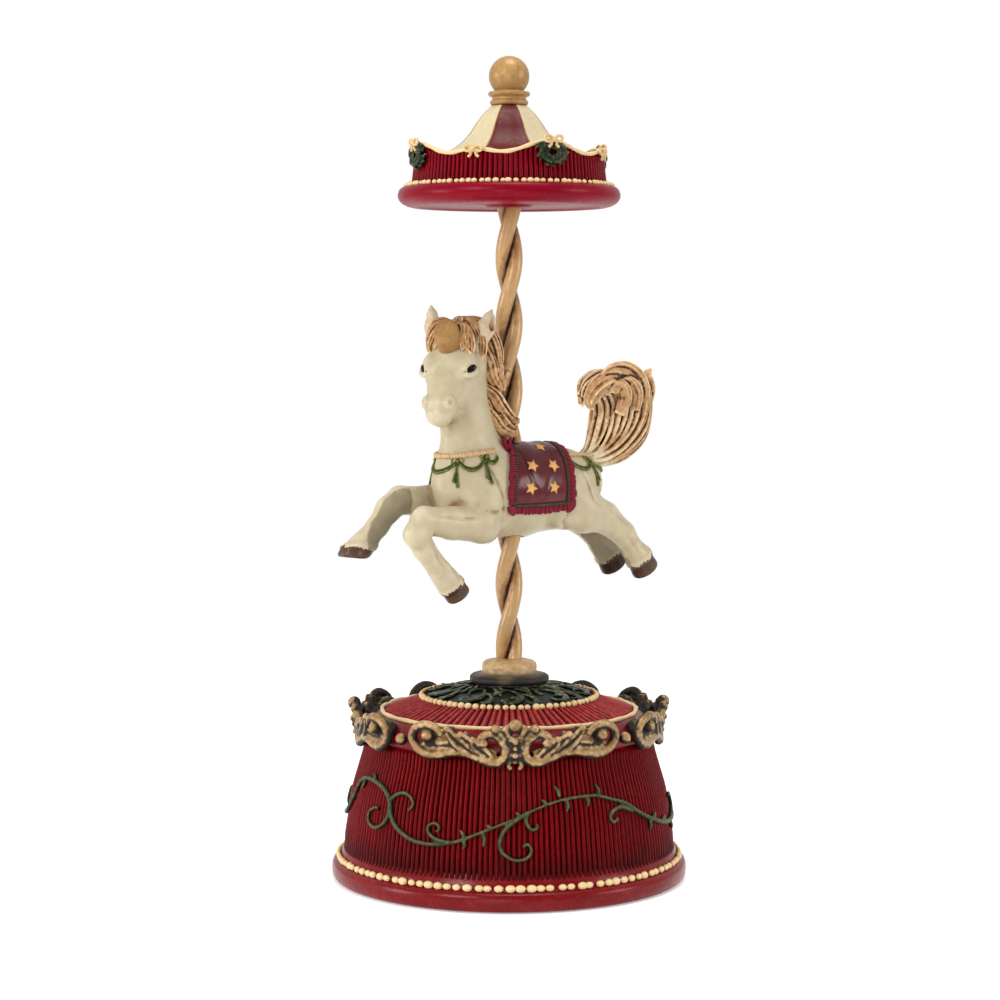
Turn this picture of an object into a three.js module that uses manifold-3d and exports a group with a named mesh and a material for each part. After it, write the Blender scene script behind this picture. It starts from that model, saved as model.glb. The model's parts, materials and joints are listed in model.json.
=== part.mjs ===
// A wind-up music box: a carousel horse on a twisted pole, turned by a small spring
// movement inside a fluted drum. Millimetres, +Z up, origin at the centre of the
// drum's foot on the table. The horse, its pole and the canopy turn as one.
import * as THREE from "three";
import { mergeVertices } from "three/addons/utils/BufferGeometryUtils.js";
import Module from "manifold-3d";

const wasm = await Module();
wasm.setup();

// ---- Driving dimensions ----------------------------------------------------
const FLANGE_R = 46; // the drum's foot
const SHELL_TOP_Z = 49.4; // crown of the leaf medallion
const GAP = 0.3; // between pieces that touch
const PLATE_Z = 12.8; // underside of the bottom plate
const PLATE_T = 2.2;
const PLATE_R = 39.7;
const LEDGE_Z = PLATE_Z + PLATE_T + GAP;
const BED_Z = LEDGE_Z; // underside of the movement's bedplate
const BED_T = 2.4;
const BED_TOP = BED_Z + BED_T;
const AXIS_Z = 26; // height of the pinned cylinder's axis
const SHAFT_R = 1.5; // output shaft
const ARBOR_R = 2;
const FOOT_Z = 50.3; // underside of the pole's foot
const POLE_Z = 56.7; // bottom of the twisted pole
const POLE_TWIST_PITCH = 33.6;
const STRAND_R = 1.95;
const STRAND_OFF = 1.55; // strand centre from the pole's axis
const POLE_SOCKET_R = 3.9;
const BELLY_SOCKET_Z = 94;
const BACK_SOCKET_Z = 104;
const CANOPY_Z = 172; // lowest point of the canopy's rim
const CANOPY_SOCKET_Z = 176;
const ROOF_Z = 183.8;
const FINIAL_Z = 198.8;
const BALL_Z = 205.9;
const BALL_R = 5.17;
const HEADING = 40; // degrees from -X towards -Y that the horse faces
const HEAD_TURN = 33; // degrees the head turns to the horse's left
const SCREW_SIDES = 12;

// Gear train: contrate barrel wheel > pinion > end wheel > governor pinion > worm wheel > worm.
const BARREL_TEETH = 44;
const PINION_TEETH = 11;
const BARREL_PITCH_R = 13.7;
const PINION_PITCH_R = (BARREL_PITCH_R * PINION_TEETH) / BARREL_TEETH;
const END_TEETH = 38;
const GOVERNOR_TEETH = 14;
const SPUR_MODULE = 0.4;
const WORM_TEETH = 20;
const WORM_MODULE = 0.3;
const WORM_R = 1.5;

// ---- Materials ---------------------------------------------------------------
function paint(name, color, roughness, metalness = 0) {
  return new THREE.MeshStandardMaterial({ name, color, roughness, metalness });
}
const redResin = paint("red resin", 0x8f0d18, 0.45);
const creamResin = paint("cream resin", 0xd6c9a6, 0.4);
const goldPaint = paint("gold paint", 0xb58a4e, 0.45, 0.3);
const hairPaint = paint("hair paint", 0xa9815a, 0.5);
const fibreboard = paint("fibreboard", 0x2b2622, 0.9);
const zinc = paint("zinc casting", 0x9a9c9e, 0.4, 0.9);
const steel = paint("steel", 0x8d9095, 0.3, 1);
const brass = paint("brass", 0xb8923f, 0.3, 1);
const nylon = paint("nylon", 0xe6e3da, 0.5);

// ---- Solids ------------------------------------------------------------------
function solidOf(geometry) {
  const flat = geometry.index ? geometry.toNonIndexed() : geometry.clone();
  const bare = new THREE.BufferGeometry().setAttribute("position", flat.getAttribute("position"));
  const merged = mergeVertices(bare, 1e-3);
  return new wasm.Manifold(
    new wasm.Mesh({
      numProp: 3,
      vertProperties: merged.attributes.position.array,
      triVerts: new Uint32Array(merged.index.array),
    }),
  );
}

function geometryOf(solid) {
  const mesh = solid.getMesh();
  const geometry = new THREE.BufferGeometry();
  geometry.setAttribute("position", new THREE.BufferAttribute(new Float32Array(mesh.vertProperties), 3));
  geometry.setIndex(new THREE.BufferAttribute(new Uint32Array(mesh.triVerts), 1));
  return geometry;
}

const join = (...geometries) => geometryOf(geometries.map(solidOf).reduce((a, b) => a.add(b)));
const cut = (body, ...tools) =>
  geometryOf(tools.map(solidOf).reduce((a, b) => a.subtract(b), solidOf(body)));

// A turned solid about +Z. The outline runs anticlockwise in (r, z) and closes on itself.
function turned(outline, sides = 24) {
  const points = outline.map(([r, z]) => new THREE.Vector2(r, z));
  points.push(points[0].clone());
  return new THREE.LatheGeometry(points, sides).rotateX(Math.PI / 2);
}

function disc(r, z0, z1, sides = 24) {
  return new THREE.CylinderGeometry(r, r, z1 - z0, sides).rotateX(Math.PI / 2).translate(0, 0, (z0 + z1) / 2);
}

const rod = (r, z0, z1, x = 0, y = 0, sides = 16) => disc(r, z0, z1, sides).translate(x, y, 0);

function ring(inner, outer, z0, z1, sides = 24) {
  return turned([[inner, z0], [outer, z0], [outer, z1], [inner, z1]], sides);
}

function box(x0, x1, y0, y1, z0, z1) {
  return new THREE.BoxGeometry(x1 - x0, y1 - y0, z1 - z0).translate((x0 + x1) / 2, (y0 + y1) / 2, (z0 + z1) / 2);
}

// An outline in XY, extruded from z0 to z1.
function plate(outline, z0, z1, holes = []) {
  const shape = new THREE.Shape(outline.map(([x, y]) => new THREE.Vector2(x, y)));
  for (const [x, y, r] of holes) {
    const hole = new THREE.Path();
    hole.absarc(x, y, r, 0, 2 * Math.PI, true);
    shape.holes.push(hole);
  }
  const options = { depth: z1 - z0, bevelEnabled: false, curveSegments: 8 };
  return new THREE.ExtrudeGeometry(shape, options).translate(0, 0, z0);
}

// ---- Gears -------------------------------------------------------------------
// A spur gear's outline, with narrow straight-sided teeth that leave room to run.
function gearOutline(teeth, pitchR, addendum, dedendum, phase = 0) {
  const outline = [];
  const pitch = (2 * Math.PI) / teeth;
  const sides = [[-0.3, -dedendum], [-0.13, addendum], [0.13, addendum], [0.3, -dedendum]];
  for (let i = 0; i < teeth; i++) {
    for (const [share, height] of sides) {
      const angle = (i + share + phase) * pitch;
      const r = pitchR + height;
      outline.push([r * Math.cos(angle), r * Math.sin(angle)]);
    }
  }
  return outline;
}

// Turns a piece made along +Z so that its axis lies along +X.
const alongX = (geometry, x, y, z) => geometry.rotateY(Math.PI / 2).translate(x, y, z);

// ---- Cast shell and underside ---------------------------------------------------
const plateScrews = [75, 180, 285].map((a) => [35 * Math.cos((a * Math.PI) / 180), 35 * Math.sin((a * Math.PI) / 180)]);
const bedScrews = [[-12, -11.5], [-12, 11.5], [29, -12.5]];

function baseShell() {
  const outline = [
    [41, 0], [44.8, 0], [45.8, 0.9], [FLANGE_R, 2.6], [45.4, 4.5], [44.9, 6.2], [42.8, 7.8],
    [42.1, 14.5], [40.8, 22.5], [37.9, 33], [37.4, 37.5],
    [34.4, 41.6], [33.4, 43.5], [32.5, 43.6], [22.9, 46.9], [16, 48.5], [10, SHELL_TOP_Z], [3.2, SHELL_TOP_Z],
    [3.2, 46.2], [12, 46], [20, 44.2], [31.2, 40.3], [34.2, 37], [34.9, 33], [36.3, 28], [37.6, 22],
    [37.9, LEDGE_Z], [40.1, LEDGE_Z],
  ];
  const bosses = plateScrews.map(([x, y]) => rod(3.3, LEDGE_Z, 25, x, y, 14));
  const pilots = plateScrews.map(([x, y]) => rod(1.7, LEDGE_Z - 1, 23.5, x, y, SCREW_SIDES));
  return cut(join(turned(outline, 42), ...bosses), ...pilots);
}

function bottomPlate() {
  const body = disc(PLATE_R, PLATE_Z, PLATE_Z + PLATE_T, 42);
  const screwHoles = [...plateScrews, ...bedScrews].flatMap(([x, y]) => [
    rod(1.8, PLATE_Z - 1, PLATE_Z + PLATE_T + 1, x, y, SCREW_SIDES),
    rod(3.1, PLATE_Z - 1, PLATE_Z + 1.4, x, y, SCREW_SIDES),
  ]);
  return cut(body, rod(4.6, PLATE_Z - 1, PLATE_Z + PLATE_T + 1, 0, 0, 20), ...screwHoles);
}

// A pan-head screw with a slot, head down, its seat at z.
function screwUp(x, y, z, length, shankR, headR = 2.7, headT = 1.2) {
  const head = rod(headR, z - headT, z, x, y, SCREW_SIDES);
  const shank = rod(shankR, z - 0.2, z + length, x, y, 10);
  const slot = box(x - headR - 1, x + headR + 1, y - 0.35, y + 0.35, z - headT - 1, z - headT + 0.5);
  return cut(join(head, shank), slot);
}

function screwDown(x, y, z, length, shankR, headR, headT) {
  return screwUp(0, 0, 0, length, shankR, headR, headT).rotateX(Math.PI).translate(x, y, z);
}

// ---- Movement --------------------------------------------------------------------
const BEARING_INNER_X = [15.3, 16.3];
const BEARING_OUTER_X = [34.1, 35.1];
const GOVERNOR_Y = SPUR_MODULE * ((END_TEETH + GOVERNOR_TEETH) / 2) + 0.1;
const WORM_WHEEL_X = [25, 26.4];
const WORM_X = (WORM_WHEEL_X[0] + WORM_WHEEL_X[1]) / 2;
const WORM_WHEEL_R = (WORM_TEETH * WORM_MODULE) / 2;
const WORM_Y = GOVERNOR_Y + WORM_WHEEL_R + WORM_R + 0.1;
const WORM_Z = [22.4, 30.4];
const FLY_Z = AXIS_Z + 6.4;
const COMB_TIP_Y = -7.6;

function bearing([x0, x1], y, boreR) {
  const post = box(x0, x1, y - 2.2, y + 2.2, BED_TOP - 0.5, AXIS_Z + 1.9);
  return cut(post, alongX(disc(boreR, -1, x1 - x0 + 1, 12), x0, y, AXIS_Z));
}

function bedplate() {
  const outline = [
    [-16, -14], [-13, -16.5], [31, -16.5], [35.3, -12], [35.3, 11], [31, 17], [-13, 15], [-16, 12],
  ];
  const holes = [[0, 0, 2.4], ...bedScrews.map(([x, y]) => [x, y, 1.7])];
  const combRail = box(16.8, 32, -16.2, -11.2, BED_TOP - 0.5, AXIS_Z - 1);
  return cut(
    join(plate(outline, BED_Z, BED_TOP, holes), combRail, bearing(BEARING_INNER_X, 0, 1.3), bearing(BEARING_OUTER_X, 0, 1.3)),
    ...combScrews.map(([x, y]) => rod(1.3, AXIS_Z - 5, AXIS_Z, x, y, 10)),
    rod(1.7, BED_Z - 1, BED_TOP + 1, bedScrews[2][0], bedScrews[2][1], SCREW_SIDES),
    rod(1.2, BED_TOP - 1.9, AXIS_Z, governorScrew[0], governorScrew[1], 10),
  );
}

const combScrews = [[20, -14.2], [27.5, -14.2]];
const governorScrew = [18.2, 11.5];
const COMB_TEETH = 18;

// A steel comb: a broad back and narrow teeth, longer at one end than the other.
function comb() {
  const z0 = AXIS_Z - 1 + GAP;
  const back = plate([[16.9, -16], [31.9, -16], [31.9, -11.4], [16.9, -12.8]], z0, z0 + 1.1, combScrews.map(([x, y]) => [x, y, 1.3]));
  const pitch = 15 / COMB_TEETH;
  const teeth = Array.from({ length: COMB_TEETH }, (_, i) => {
    const x = 16.9 + (i + 0.2) * pitch;
    return box(x, x + 0.6 * pitch, -13.2, COMB_TIP_Y, z0 + 0.15, z0 + 0.75);
  });
  return join(back, ...teeth);
}

// The pinned cylinder. Its pins stand in one row of dots for each tooth of the comb.
function cylinder() {
  const tube = alongX(ring(1.4, 6.5, 0, 15.2, 28), 16.7, 0, AXIS_Z);
  const pitch = 15 / COMB_TEETH;
  const pins = [];
  for (let i = 0; i < COMB_TEETH; i++) {
    for (let k = 0; k < 2; k++) {
      const angle = ((i * 7 + k * 13) % 27) * ((2 * Math.PI) / 27) + 0.25;
      const pin = box(-0.16, 0.16, -0.16, 0.16, 6.2, 7.2).rotateX(angle);
      pins.push(pin.translate(16.9 + (i + 0.5) * pitch, 0, AXIS_Z));
    }
  }
  return join(tube, ...pins);
}

function contrateWheel() {
  const rim = ring(11.8, 14.8, 19.3, 21.2, BARREL_TEETH);
  const teeth = [];
  const pitch = (2 * Math.PI) / BARREL_TEETH;
  for (let i = 0; i < BARREL_TEETH; i++) {
    const corners = [];
    for (const [z, share] of [[21, 0.25], [23.4, 0.1]]) {
      for (const r of [12.7, 14.7]) {
        for (const side of [-1, 1]) {
          const angle = (i + side * share) * pitch;
          corners.push(r * Math.cos(angle), r * Math.sin(angle), z);
        }
      }
    }
    teeth.push(wedge(corners));
  }
  return join(rim, ...teeth);
}

// A hexahedron from eight corners: bottom inner -,+, bottom outer -,+, then the same on top.
function wedge(corners) {
  const geometry = new THREE.BufferGeometry();
  geometry.setAttribute("position", new THREE.BufferAttribute(new Float32Array(corners), 3));
  geometry.setIndex([
    0, 1, 3, 0, 3, 2, 4, 6, 7, 4, 7, 5, 2, 3, 7, 2, 7, 6, 0, 4, 5, 0, 5, 1, 0, 2, 6, 0, 6, 4, 1, 5, 7, 1, 7, 3,
  ]);
  return geometry;
}

const barrelCup = () =>
  turned([[2.5, 19], [11.5, 19], [11.5, 31.3], [10.7, 31.3], [10.7, 20.2], [2.5, 20.2]], 32);
const barrelLid = () =>
  turned([[1.8, 31.6], [11.5, 31.6], [11.5, 32.6], [4, 32.8], [3.4, 35], [1.8, 35]], 32);

// A spiral ribbon from the barrel's wall in to the arbor.
function mainspring() {
  const [outerR, innerR, turns, stepsPerTurn, thickness] = [10.1, 3, 4, 14, 0.6];
  const steps = turns * stepsPerTurn;
  const side = (offset) =>
    Array.from({ length: steps + 1 }, (_, i) => {
      const angle = (i / stepsPerTurn) * 2 * Math.PI;
      const r = outerR + (innerR - outerR) * (i / steps) + offset;
      return [r * Math.cos(angle), r * Math.sin(angle)];
    });
  return plate([...side(0), ...side(-thickness).reverse()], 20.6, 30.8);
}

const windingArbor = () =>
  turned([[0, 7], [1.9, 7], [2, 7.4], [2, BED_Z - 1.2], [2, 20.6], [2.2, 20.8], [2.2, 30.6], [1.2, 31.2], [0, 31.2]], 16);

// A butterfly key with a bored hub.
function windingKey() {
  const wing = new THREE.Shape();
  wing.moveTo(-3, 0);
  wing.lineTo(3, 0);
  wing.lineTo(5.2, 1.4);
  wing.absarc(8.1, 3.4, 3.4, -1.9, 1.6, false);
  wing.lineTo(3.6, 4.6);
  wing.lineTo(-3.6, 4.6);
  wing.absarc(-8.1, 3.4, 3.4, Math.PI - 1.6, Math.PI + 1.9, false);
  wing.lineTo(-5.2, 1.4);
  const blade = new THREE.ExtrudeGeometry(wing, { depth: 1.8, bevelEnabled: false, curveSegments: 7 })
    .translate(0, 0, -0.9)
    .rotateX(Math.PI / 2)
    .rotateX(Math.PI)
    .translate(0, 0, 8.4);
  const hub = turned([[0, 4.6], [2.6, 4.6], [3.3, 5.6], [3.6, 10.6], [3, 11.4], [0, 11.4]], 16);
  return cut(join(blade, hub), rod(ARBOR_R + GAP, 6.6, 13, 0, 0, 16));
}

const cylinderArbor = () => alongX(disc(1.1, 0, 22.9, 12), 12.4, 0, AXIS_Z);
function cylinderPinion() {
  const body = plate(gearOutline(PINION_TEETH, PINION_PITCH_R, 0.75, 1.05, 0.5), 0, 2.2);
  return alongX(cut(body, disc(1.4, -1, 3, 12)), 12.6, 0, AXIS_Z);
}
function cylinderEndWheel() {
  const body = plate(gearOutline(END_TEETH, (END_TEETH * SPUR_MODULE) / 2, 0.36, 0.5, 0), 0, 1.3);
  return alongX(cut(body, disc(1.4, -1, 3, 12)), 32.3, 0, AXIS_Z);
}

// The governor's first arbor: a pinion at one end and the worm wheel further in.
function governorWheel() {
  const pinion = plate(gearOutline(GOVERNOR_TEETH, (GOVERNOR_TEETH * SPUR_MODULE) / 2, 0.36, 0.5, 0.5), 0, 1.5);
  const wheel = plate(gearOutline(WORM_TEETH, WORM_WHEEL_R, 0.22, 0.34, 0), 0, 1.4);
  const arbor = disc(0.7, 0, 15.4, 10);
  const at = (geometry, x) => alongX(geometry, x, GOVERNOR_Y, AXIS_Z);
  return join(at(pinion, 32.2), at(wheel, WORM_WHEEL_X[0]), at(arbor, 19.2));
}

// The endless screw: a thread round a thin core, one turn for each tooth of its wheel.
function governorWorm() {
  const pitch = Math.PI * WORM_MODULE;
  const [z0, z1] = [AXIS_Z - 2.2, AXIS_Z + 2.2];
  const stepsPerTurn = 9;
  const steps = Math.round(((z1 - z0) / pitch) * stepsPerTurn);
  const outer = WORM_R + 0.2;
  const inner = WORM_R - 0.55;
  const section = [[inner, -0.26], [outer, -0.08], [outer, 0.08], [inner, 0.26]];
  const positions = [];
  for (let i = 0; i <= steps; i++) {
    const turn = (i / stepsPerTurn) * 2 * Math.PI - ((z1 - z0) / pitch) * Math.PI - Math.PI / 2;
    const z = z0 + (i / stepsPerTurn) * pitch;
    for (const [r, dz] of section) positions.push(r * Math.cos(turn), r * Math.sin(turn), z + dz + pitch / 2);
  }
  const n = section.length;
  const index = [];
  for (let i = 0; i < steps; i++) {
    for (let k = 0; k < n; k++) {
      const [a, b] = [i * n + k, i * n + ((k + 1) % n)];
      index.push(a, a + n, b, b, a + n, b + n);
    }
  }
  index.push(0, 1, 2, 0, 2, 3);
  const last = steps * n;
  index.push(last, last + 2, last + 1, last, last + 3, last + 2);
  const thread = new THREE.BufferGeometry();
  thread.setAttribute("position", new THREE.BufferAttribute(new Float32Array(positions), 3));
  thread.setIndex(index);
  const core = turned(
    [[0, WORM_Z[0]], [0.45, WORM_Z[0]], [0.45, z0 - 0.6], [1.05, z0 - 0.4], [1.05, z1 + 0.9], [0.45, z1 + 1.1],
      [0.45, FLY_Z + 2.6], [0, FLY_Z + 2.6]],
    12,
  );
  return join(core, thread).translate(WORM_X, WORM_Y, 0);
}

// The air brake: two swept blades on a small hub.
function governorFly() {
    const hub = ring(0.75, 1.5, FLY_Z, FLY_Z + 2.6, 12);
  const blade = box(1.2, 4.1, -0.25, 0.25, FLY_Z + 0.1, FLY_Z + 2.5);
  const other = blade.clone().rotateZ(Math.PI);
  return join(hub, blade, other).translate(WORM_X, WORM_Y, 0);
}

// The bracket that carries the governor's two arbors, screwed to the bedplate.
function governorFrame() {
  const y = GOVERNOR_Y;
  const [bottom, top] = [BED_TOP + GAP, AXIS_Z + 5];
  const foot = box(16.6, 31.2, 8.6, 16.8, bottom, bottom + 1.2);
  const leftWall = box(19.9, 21.1, y - 2.2, y + 2.2, bottom, AXIS_Z + 2.4);
  const rightWall = box(28.8, 30, y - 2.2, y + 2.2, bottom, AXIS_Z + 2.4);
  const post = box(28.9, 30.6, y + 1.2, WORM_Y + 1.2, bottom, top + 1);
  const arm = box(WORM_X - 1.4, 30.6, WORM_Y - 1.2, WORM_Y + 1.2, top, top + 1);
  const lowerArm = box(WORM_X - 1.4, WORM_X + 1.4, WORM_Y - 1.2, WORM_Y + 1.2, bottom, AXIS_Z - 3.1);
  const arborBore = alongX(disc(0.95, 19, 31, 10), 0, y, AXIS_Z);
  const wormBore = rod(0.75, bottom + 2, top + 2, WORM_X, WORM_Y, 10);
  const screwHole = rod(1.2, bottom - 1, bottom + 3, governorScrew[0], governorScrew[1], 10);
  return cut(join(foot, leftWall, rightWall, post, arm, lowerArm), arborBore, wormBore, screwHole);
}

const outputShaft = () => disc(SHAFT_R, 32.4, 55.3, 20);
const topBush = () => turned([[1.75, 45.6], [4.6, 45.6], [4.6, 46 - GAP], [2.9, 46 - GAP], [2.9, 49.3], [1.75, 49.3]], 24);
const thrustWasher = () => ring(1.9, 5.6, SHELL_TOP_Z + GAP, SHELL_TOP_Z + GAP + 0.3, 24);

// ---- Pole --------------------------------------------------------------------------
const poleFoot = () =>
  turned(
    [
      [1.8, FOOT_Z], [9.6, FOOT_Z], [10.2, 50.9], [10.25, 52], [9.6, 52.6], [7.4, 52.9], [7, 53.6], [7, 54.9],
      [6.4, 55.9], [4.4, POLE_Z - GAP], [0, POLE_Z - GAP], [0, 55.6], [1.8, 55.6],
    ],
    28,
  );

// Two round strands wound about each other, as one figure-of-eight section that turns as it rises.
function twistedPole(z0, z1) {
  const section = [];
  const waist = Math.sqrt(STRAND_R ** 2 - STRAND_OFF ** 2);
  const open = Math.atan2(waist, -STRAND_OFF);
  for (const turn of [0, Math.PI]) {
    for (const share of [-0.94, -0.55, -0.18, 0.18, 0.55, 0.94]) {
      const angle = share * open;
      const [x, y] = [STRAND_OFF + STRAND_R * Math.cos(angle), STRAND_R * Math.sin(angle)];
      section.push([x * Math.cos(turn) - y * Math.sin(turn), x * Math.sin(turn) + y * Math.cos(turn)]);
    }
  }
  const n = section.length;
  const steps = Math.round(((z1 - z0) / POLE_TWIST_PITCH) * 15);
  const positions = [];
  const index = [];
  for (let i = 0; i <= steps; i++) {
    const z = z0 + ((z1 - z0) * i) / steps;
    const angle = poleAngle(z);
    for (const [x, y] of section) {
      positions.push(x * Math.cos(angle) - y * Math.sin(angle), x * Math.sin(angle) + y * Math.cos(angle), z);
    }
    for (let k = 0; k < n && i < steps; k++) {
      const [a, b] = [i * n + k, i * n + ((k + 1) % n)];
      index.push(a, b, b + n, a, b + n, a + n);
    }
  }
  const centre = positions.length / 3;
  positions.push(0, 0, z0, 0, 0, z1);
  for (let k = 0; k < n; k++) {
    index.push(centre, (k + 1) % n, k, centre + 1, steps * n + k, steps * n + ((k + 1) % n));
  }
  const geometry = new THREE.BufferGeometry();
  geometry.setAttribute("position", new THREE.BufferAttribute(new Float32Array(positions), 3));
  geometry.setIndex(index);
  return geometry;
}

// The strands lie in line with the viewer at the narrow places, a quarter turn before the wide ones.
const POLE_NARROW_Z = 151.4;
const poleAngle = (z) => Math.PI / 2 + ((z - POLE_NARROW_Z) / POLE_TWIST_PITCH) * 2 * Math.PI;

// ---- Canopy ----------------------------------------------------------------------
function canopyDrum() {
  const outline = [
    [24.4, CANOPY_Z], [25.6, CANOPY_Z], [27.4, 172.7], [28.4, 174.2], [28.55, 175.6], [28, 177.2], [26.4, 178.5],
    [25.2, 179], [24.8, 182.5], [24.5, 184.6], [23.6, 185.2], [23.3, ROOF_Z - GAP], [0, ROOF_Z - GAP],
    [0, CANOPY_SOCKET_Z], [POLE_SOCKET_R, CANOPY_SOCKET_Z], [POLE_SOCKET_R, 172.5], [5.8, 172.5], [6.2, 173.8], [23.2, 173.8],
  ];
  return turned(outline, 34);
}

// A pierced gold crest round the top of the canopy's wall, high at the wreaths and bows.
function canopyCrest() {
  const sides = 48;
  const [inner, outer] = [23.6, 24.6];
  const positions = [];
  const index = [];
  for (let i = 0; i < sides; i++) {
    const angle = (i / sides) * 2 * Math.PI;
    const top = crestHeight(angle);
    for (const [r, z] of [[inner, 185.2 + GAP], [outer, 185.2 + GAP], [outer, top], [inner, top]]) {
      positions.push(r * Math.cos(angle), r * Math.sin(angle), z);
    }
    for (let k = 0; k < 4; k++) {
      const [a, b] = [i * 4 + k, i * 4 + ((k + 1) % 4)];
      const next = ((i + 1) % sides) * 4;
      const [c, d] = [next + k, next + ((k + 1) % 4)];
      index.push(a, c, b, b, c, d);
    }
  }
  const geometry = new THREE.BufferGeometry();
  geometry.setAttribute("position", new THREE.BufferAttribute(new Float32Array(positions), 3));
  geometry.setIndex(index);
  return geometry;
}

const WREATH_ANGLE = -65.6; // the wreath that faces forward, in degrees about +Z
function crestHeight(angle) {
  const wave = Math.cos(8 * (angle - (WREATH_ANGLE * Math.PI) / 180));
  return 186.3 + 0.5 * wave;
}

const canopyRoof = () =>
  turned(
    [[0, ROOF_Z], [23, ROOF_Z], [22.9, 184.6], [21, 185], [17.5, 186], [14.3, 187.6], [11.9, 189.6], [10.2, 191.6],
      [8.8, 193.7], [7.4, 195.7], [6.2, 197], [4.7, 198.5], [0, 198.5]],
    32,
  );

function finial() {
  const ball = [];
  for (let i = 0; i <= 9; i++) {
    const angle = -1.05 + (i / 9) * (Math.PI / 2 + 1.05);
    ball.push([i === 9 ? 0 : BALL_R * Math.cos(angle), BALL_Z + BALL_R * Math.sin(angle)]);
  }
  const collar = [[0, FINIAL_Z], [4.5, FINIAL_Z], [4.75, 199.5], [4.3, 200.3], [5.2, 200.8], [5.35, 201.5], [4.6, 202.3], [3.9, 202.6]];
  ball.shift();
  return turned([...collar, [3.7, BALL_Z - 3], ...ball], 24);
}

// ---- Horse -------------------------------------------------------------------------
// The horse is modelled facing +X, its left side towards +Y, and turned to its heading
// by its group. A station is [x, y, z, half width, half depth] across its path.
function limb(stations, sides = 10) {
  const centres = stations.map(([x, y, z]) => new THREE.Vector3(x, y, z));
  const positions = [];
  const index = [];
  const lateral = new THREE.Vector3(0, 1, 0);
  centres.forEach((centre, i) => {
    const ahead = centres[Math.min(i + 1, centres.length - 1)];
    const behind = centres[Math.max(i - 1, 0)];
    const along = ahead.clone().sub(behind).normalize();
    const side = lateral.clone().addScaledVector(along, -lateral.dot(along)).normalize();
    const up = along.clone().cross(side);
    const [, , , halfWidth, halfDepth] = stations[i];
    for (let k = 0; k < sides; k++) {
      const angle = (k / sides) * 2 * Math.PI;
      const point = centre
        .clone()
        .addScaledVector(side, halfWidth * Math.cos(angle))
        .addScaledVector(up, halfDepth * Math.sin(angle));
      positions.push(point.x, point.y, point.z);
    }
    for (let k = 0; k < sides && i < centres.length - 1; k++) {
      const [a, b] = [i * sides + k, i * sides + ((k + 1) % sides)];
      index.push(a, b, b + sides, a, b + sides, a + sides);
    }
  });
  const last = centres.length - 1;
  const caps = positions.length / 3;
  positions.push(...centres[0].toArray(), ...centres[last].toArray());
  for (let k = 0; k < sides; k++) {
    const next = (k + 1) % sides;
    index.push(caps, next, k, caps + 1, last * sides + k, last * sides + next);
  }
  const geometry = new THREE.BufferGeometry();
  geometry.setAttribute("position", new THREE.BufferAttribute(new Float32Array(positions), 3));
  geometry.setIndex(index);
  return geometry;
}

const torsoStations = [
  [23.4, 0, 103, 2.6, 4], [21.2, 0, 102.4, 6, 8], [15, 0, 101, 8.2, 11], [7, 0, 100, 9, 11.5], [-2, 0, 99.6, 9.3, 11.6],
  [-11, 0, 100.3, 9, 10.8], [-19, 0, 100.7, 9.2, 9.5], [-26, 0, 101, 7.2, 7.4], [-29.6, 0, 101.6, 3, 3.6],
];
const neckStations = [
  [13, 0, 103, 7, 10], [13.5, 0, 110, 5.8, 9], [14.5, 0, 118, 4.9, 7.8], [15.4, 0, 127, 4.5, 6.8], [16, 0, 134, 4.6, 6],
  [16, 0, 138, 4.2, 4.4],
];
// The head's stations count from the poll, before it turns.
const POLL = [16.2, -0.5, 140.5];
const headStations = [
  [-2, 0, -2.4, 3.4, 2.6], [0.5, 0, -4, 6, 4.8], [4, 0, -6.5, 7.2, 6], [6.8, 0, -10, 7.3, 5.8], [9.3, 0, -14, 5.6, 5],
  [11.5, 0, -17.5, 4.4, 4.4], [13.2, 0, -20.7, 4.2, 3.9], [14, 0, -23.4, 2.8, 2.6],
];
const maneStations = [
  [11.5, 3.2, 139.5, 2.6, 2.6], [8.6, 3.4, 133, 2.8, 3], [7.6, 3.4, 126, 2.6, 3], [6.6, 3.2, 119.5, 2.6, 3], [4.4, 2.6, 113, 2.6, 3.2],
  [2.6, 1.6, 110, 2, 2],
];
const legStations = {
  front_left_leg: [
    [11, 6.4, 98, 3.4, 5], [14.6, 6.8, 92.4, 4, 5], [24, 6.3, 92.8, 3.3, 3.7], [32.6, 6, 93.8, 3, 3.5], [35, 6, 90.6, 2.8, 3.2],
    [30.3, 6, 84.4, 2.4, 2.6], [26.6, 6, 79.8, 2.4, 2.6], [25, 6, 78, 2.8, 2.8], [21.6, 6, 74.4, 3.2, 3.2],
  ],
  front_right_leg: [
    [12, -6.2, 99, 3.4, 5], [21.8, -6.3, 98, 3.6, 4.2], [31, -6, 99.2, 3, 3.4], [34.6, -6, 96.6, 2.8, 3.1], [37.6, -6, 92.8, 2.4, 2.6],
    [41.3, -6, 88.9, 2.3, 2.5], [42.6, -6, 87.4, 2.8, 2.8], [46.4, -6, 84, 3.1, 2.9],
  ],
  hind_left_leg: [
    [-14, 6.6, 97, 3.6, 7.4], [-20, 6.6, 94.4, 3.8, 6], [-27, 6.4, 91, 3, 4], [-34, 6.2, 86.6, 2.5, 3.1], [-38.6, 6, 82.4, 2.4, 2.7],
    [-40, 6, 80.6, 2.8, 3], [-42.6, 6, 76.6, 3.2, 3.2],
  ],
};
legStations.hind_right_leg = legStations.hind_left_leg.map(([x, y, z, a, b]) => [x + 0.6, -y, z + 0.4, a, b]);
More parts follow.
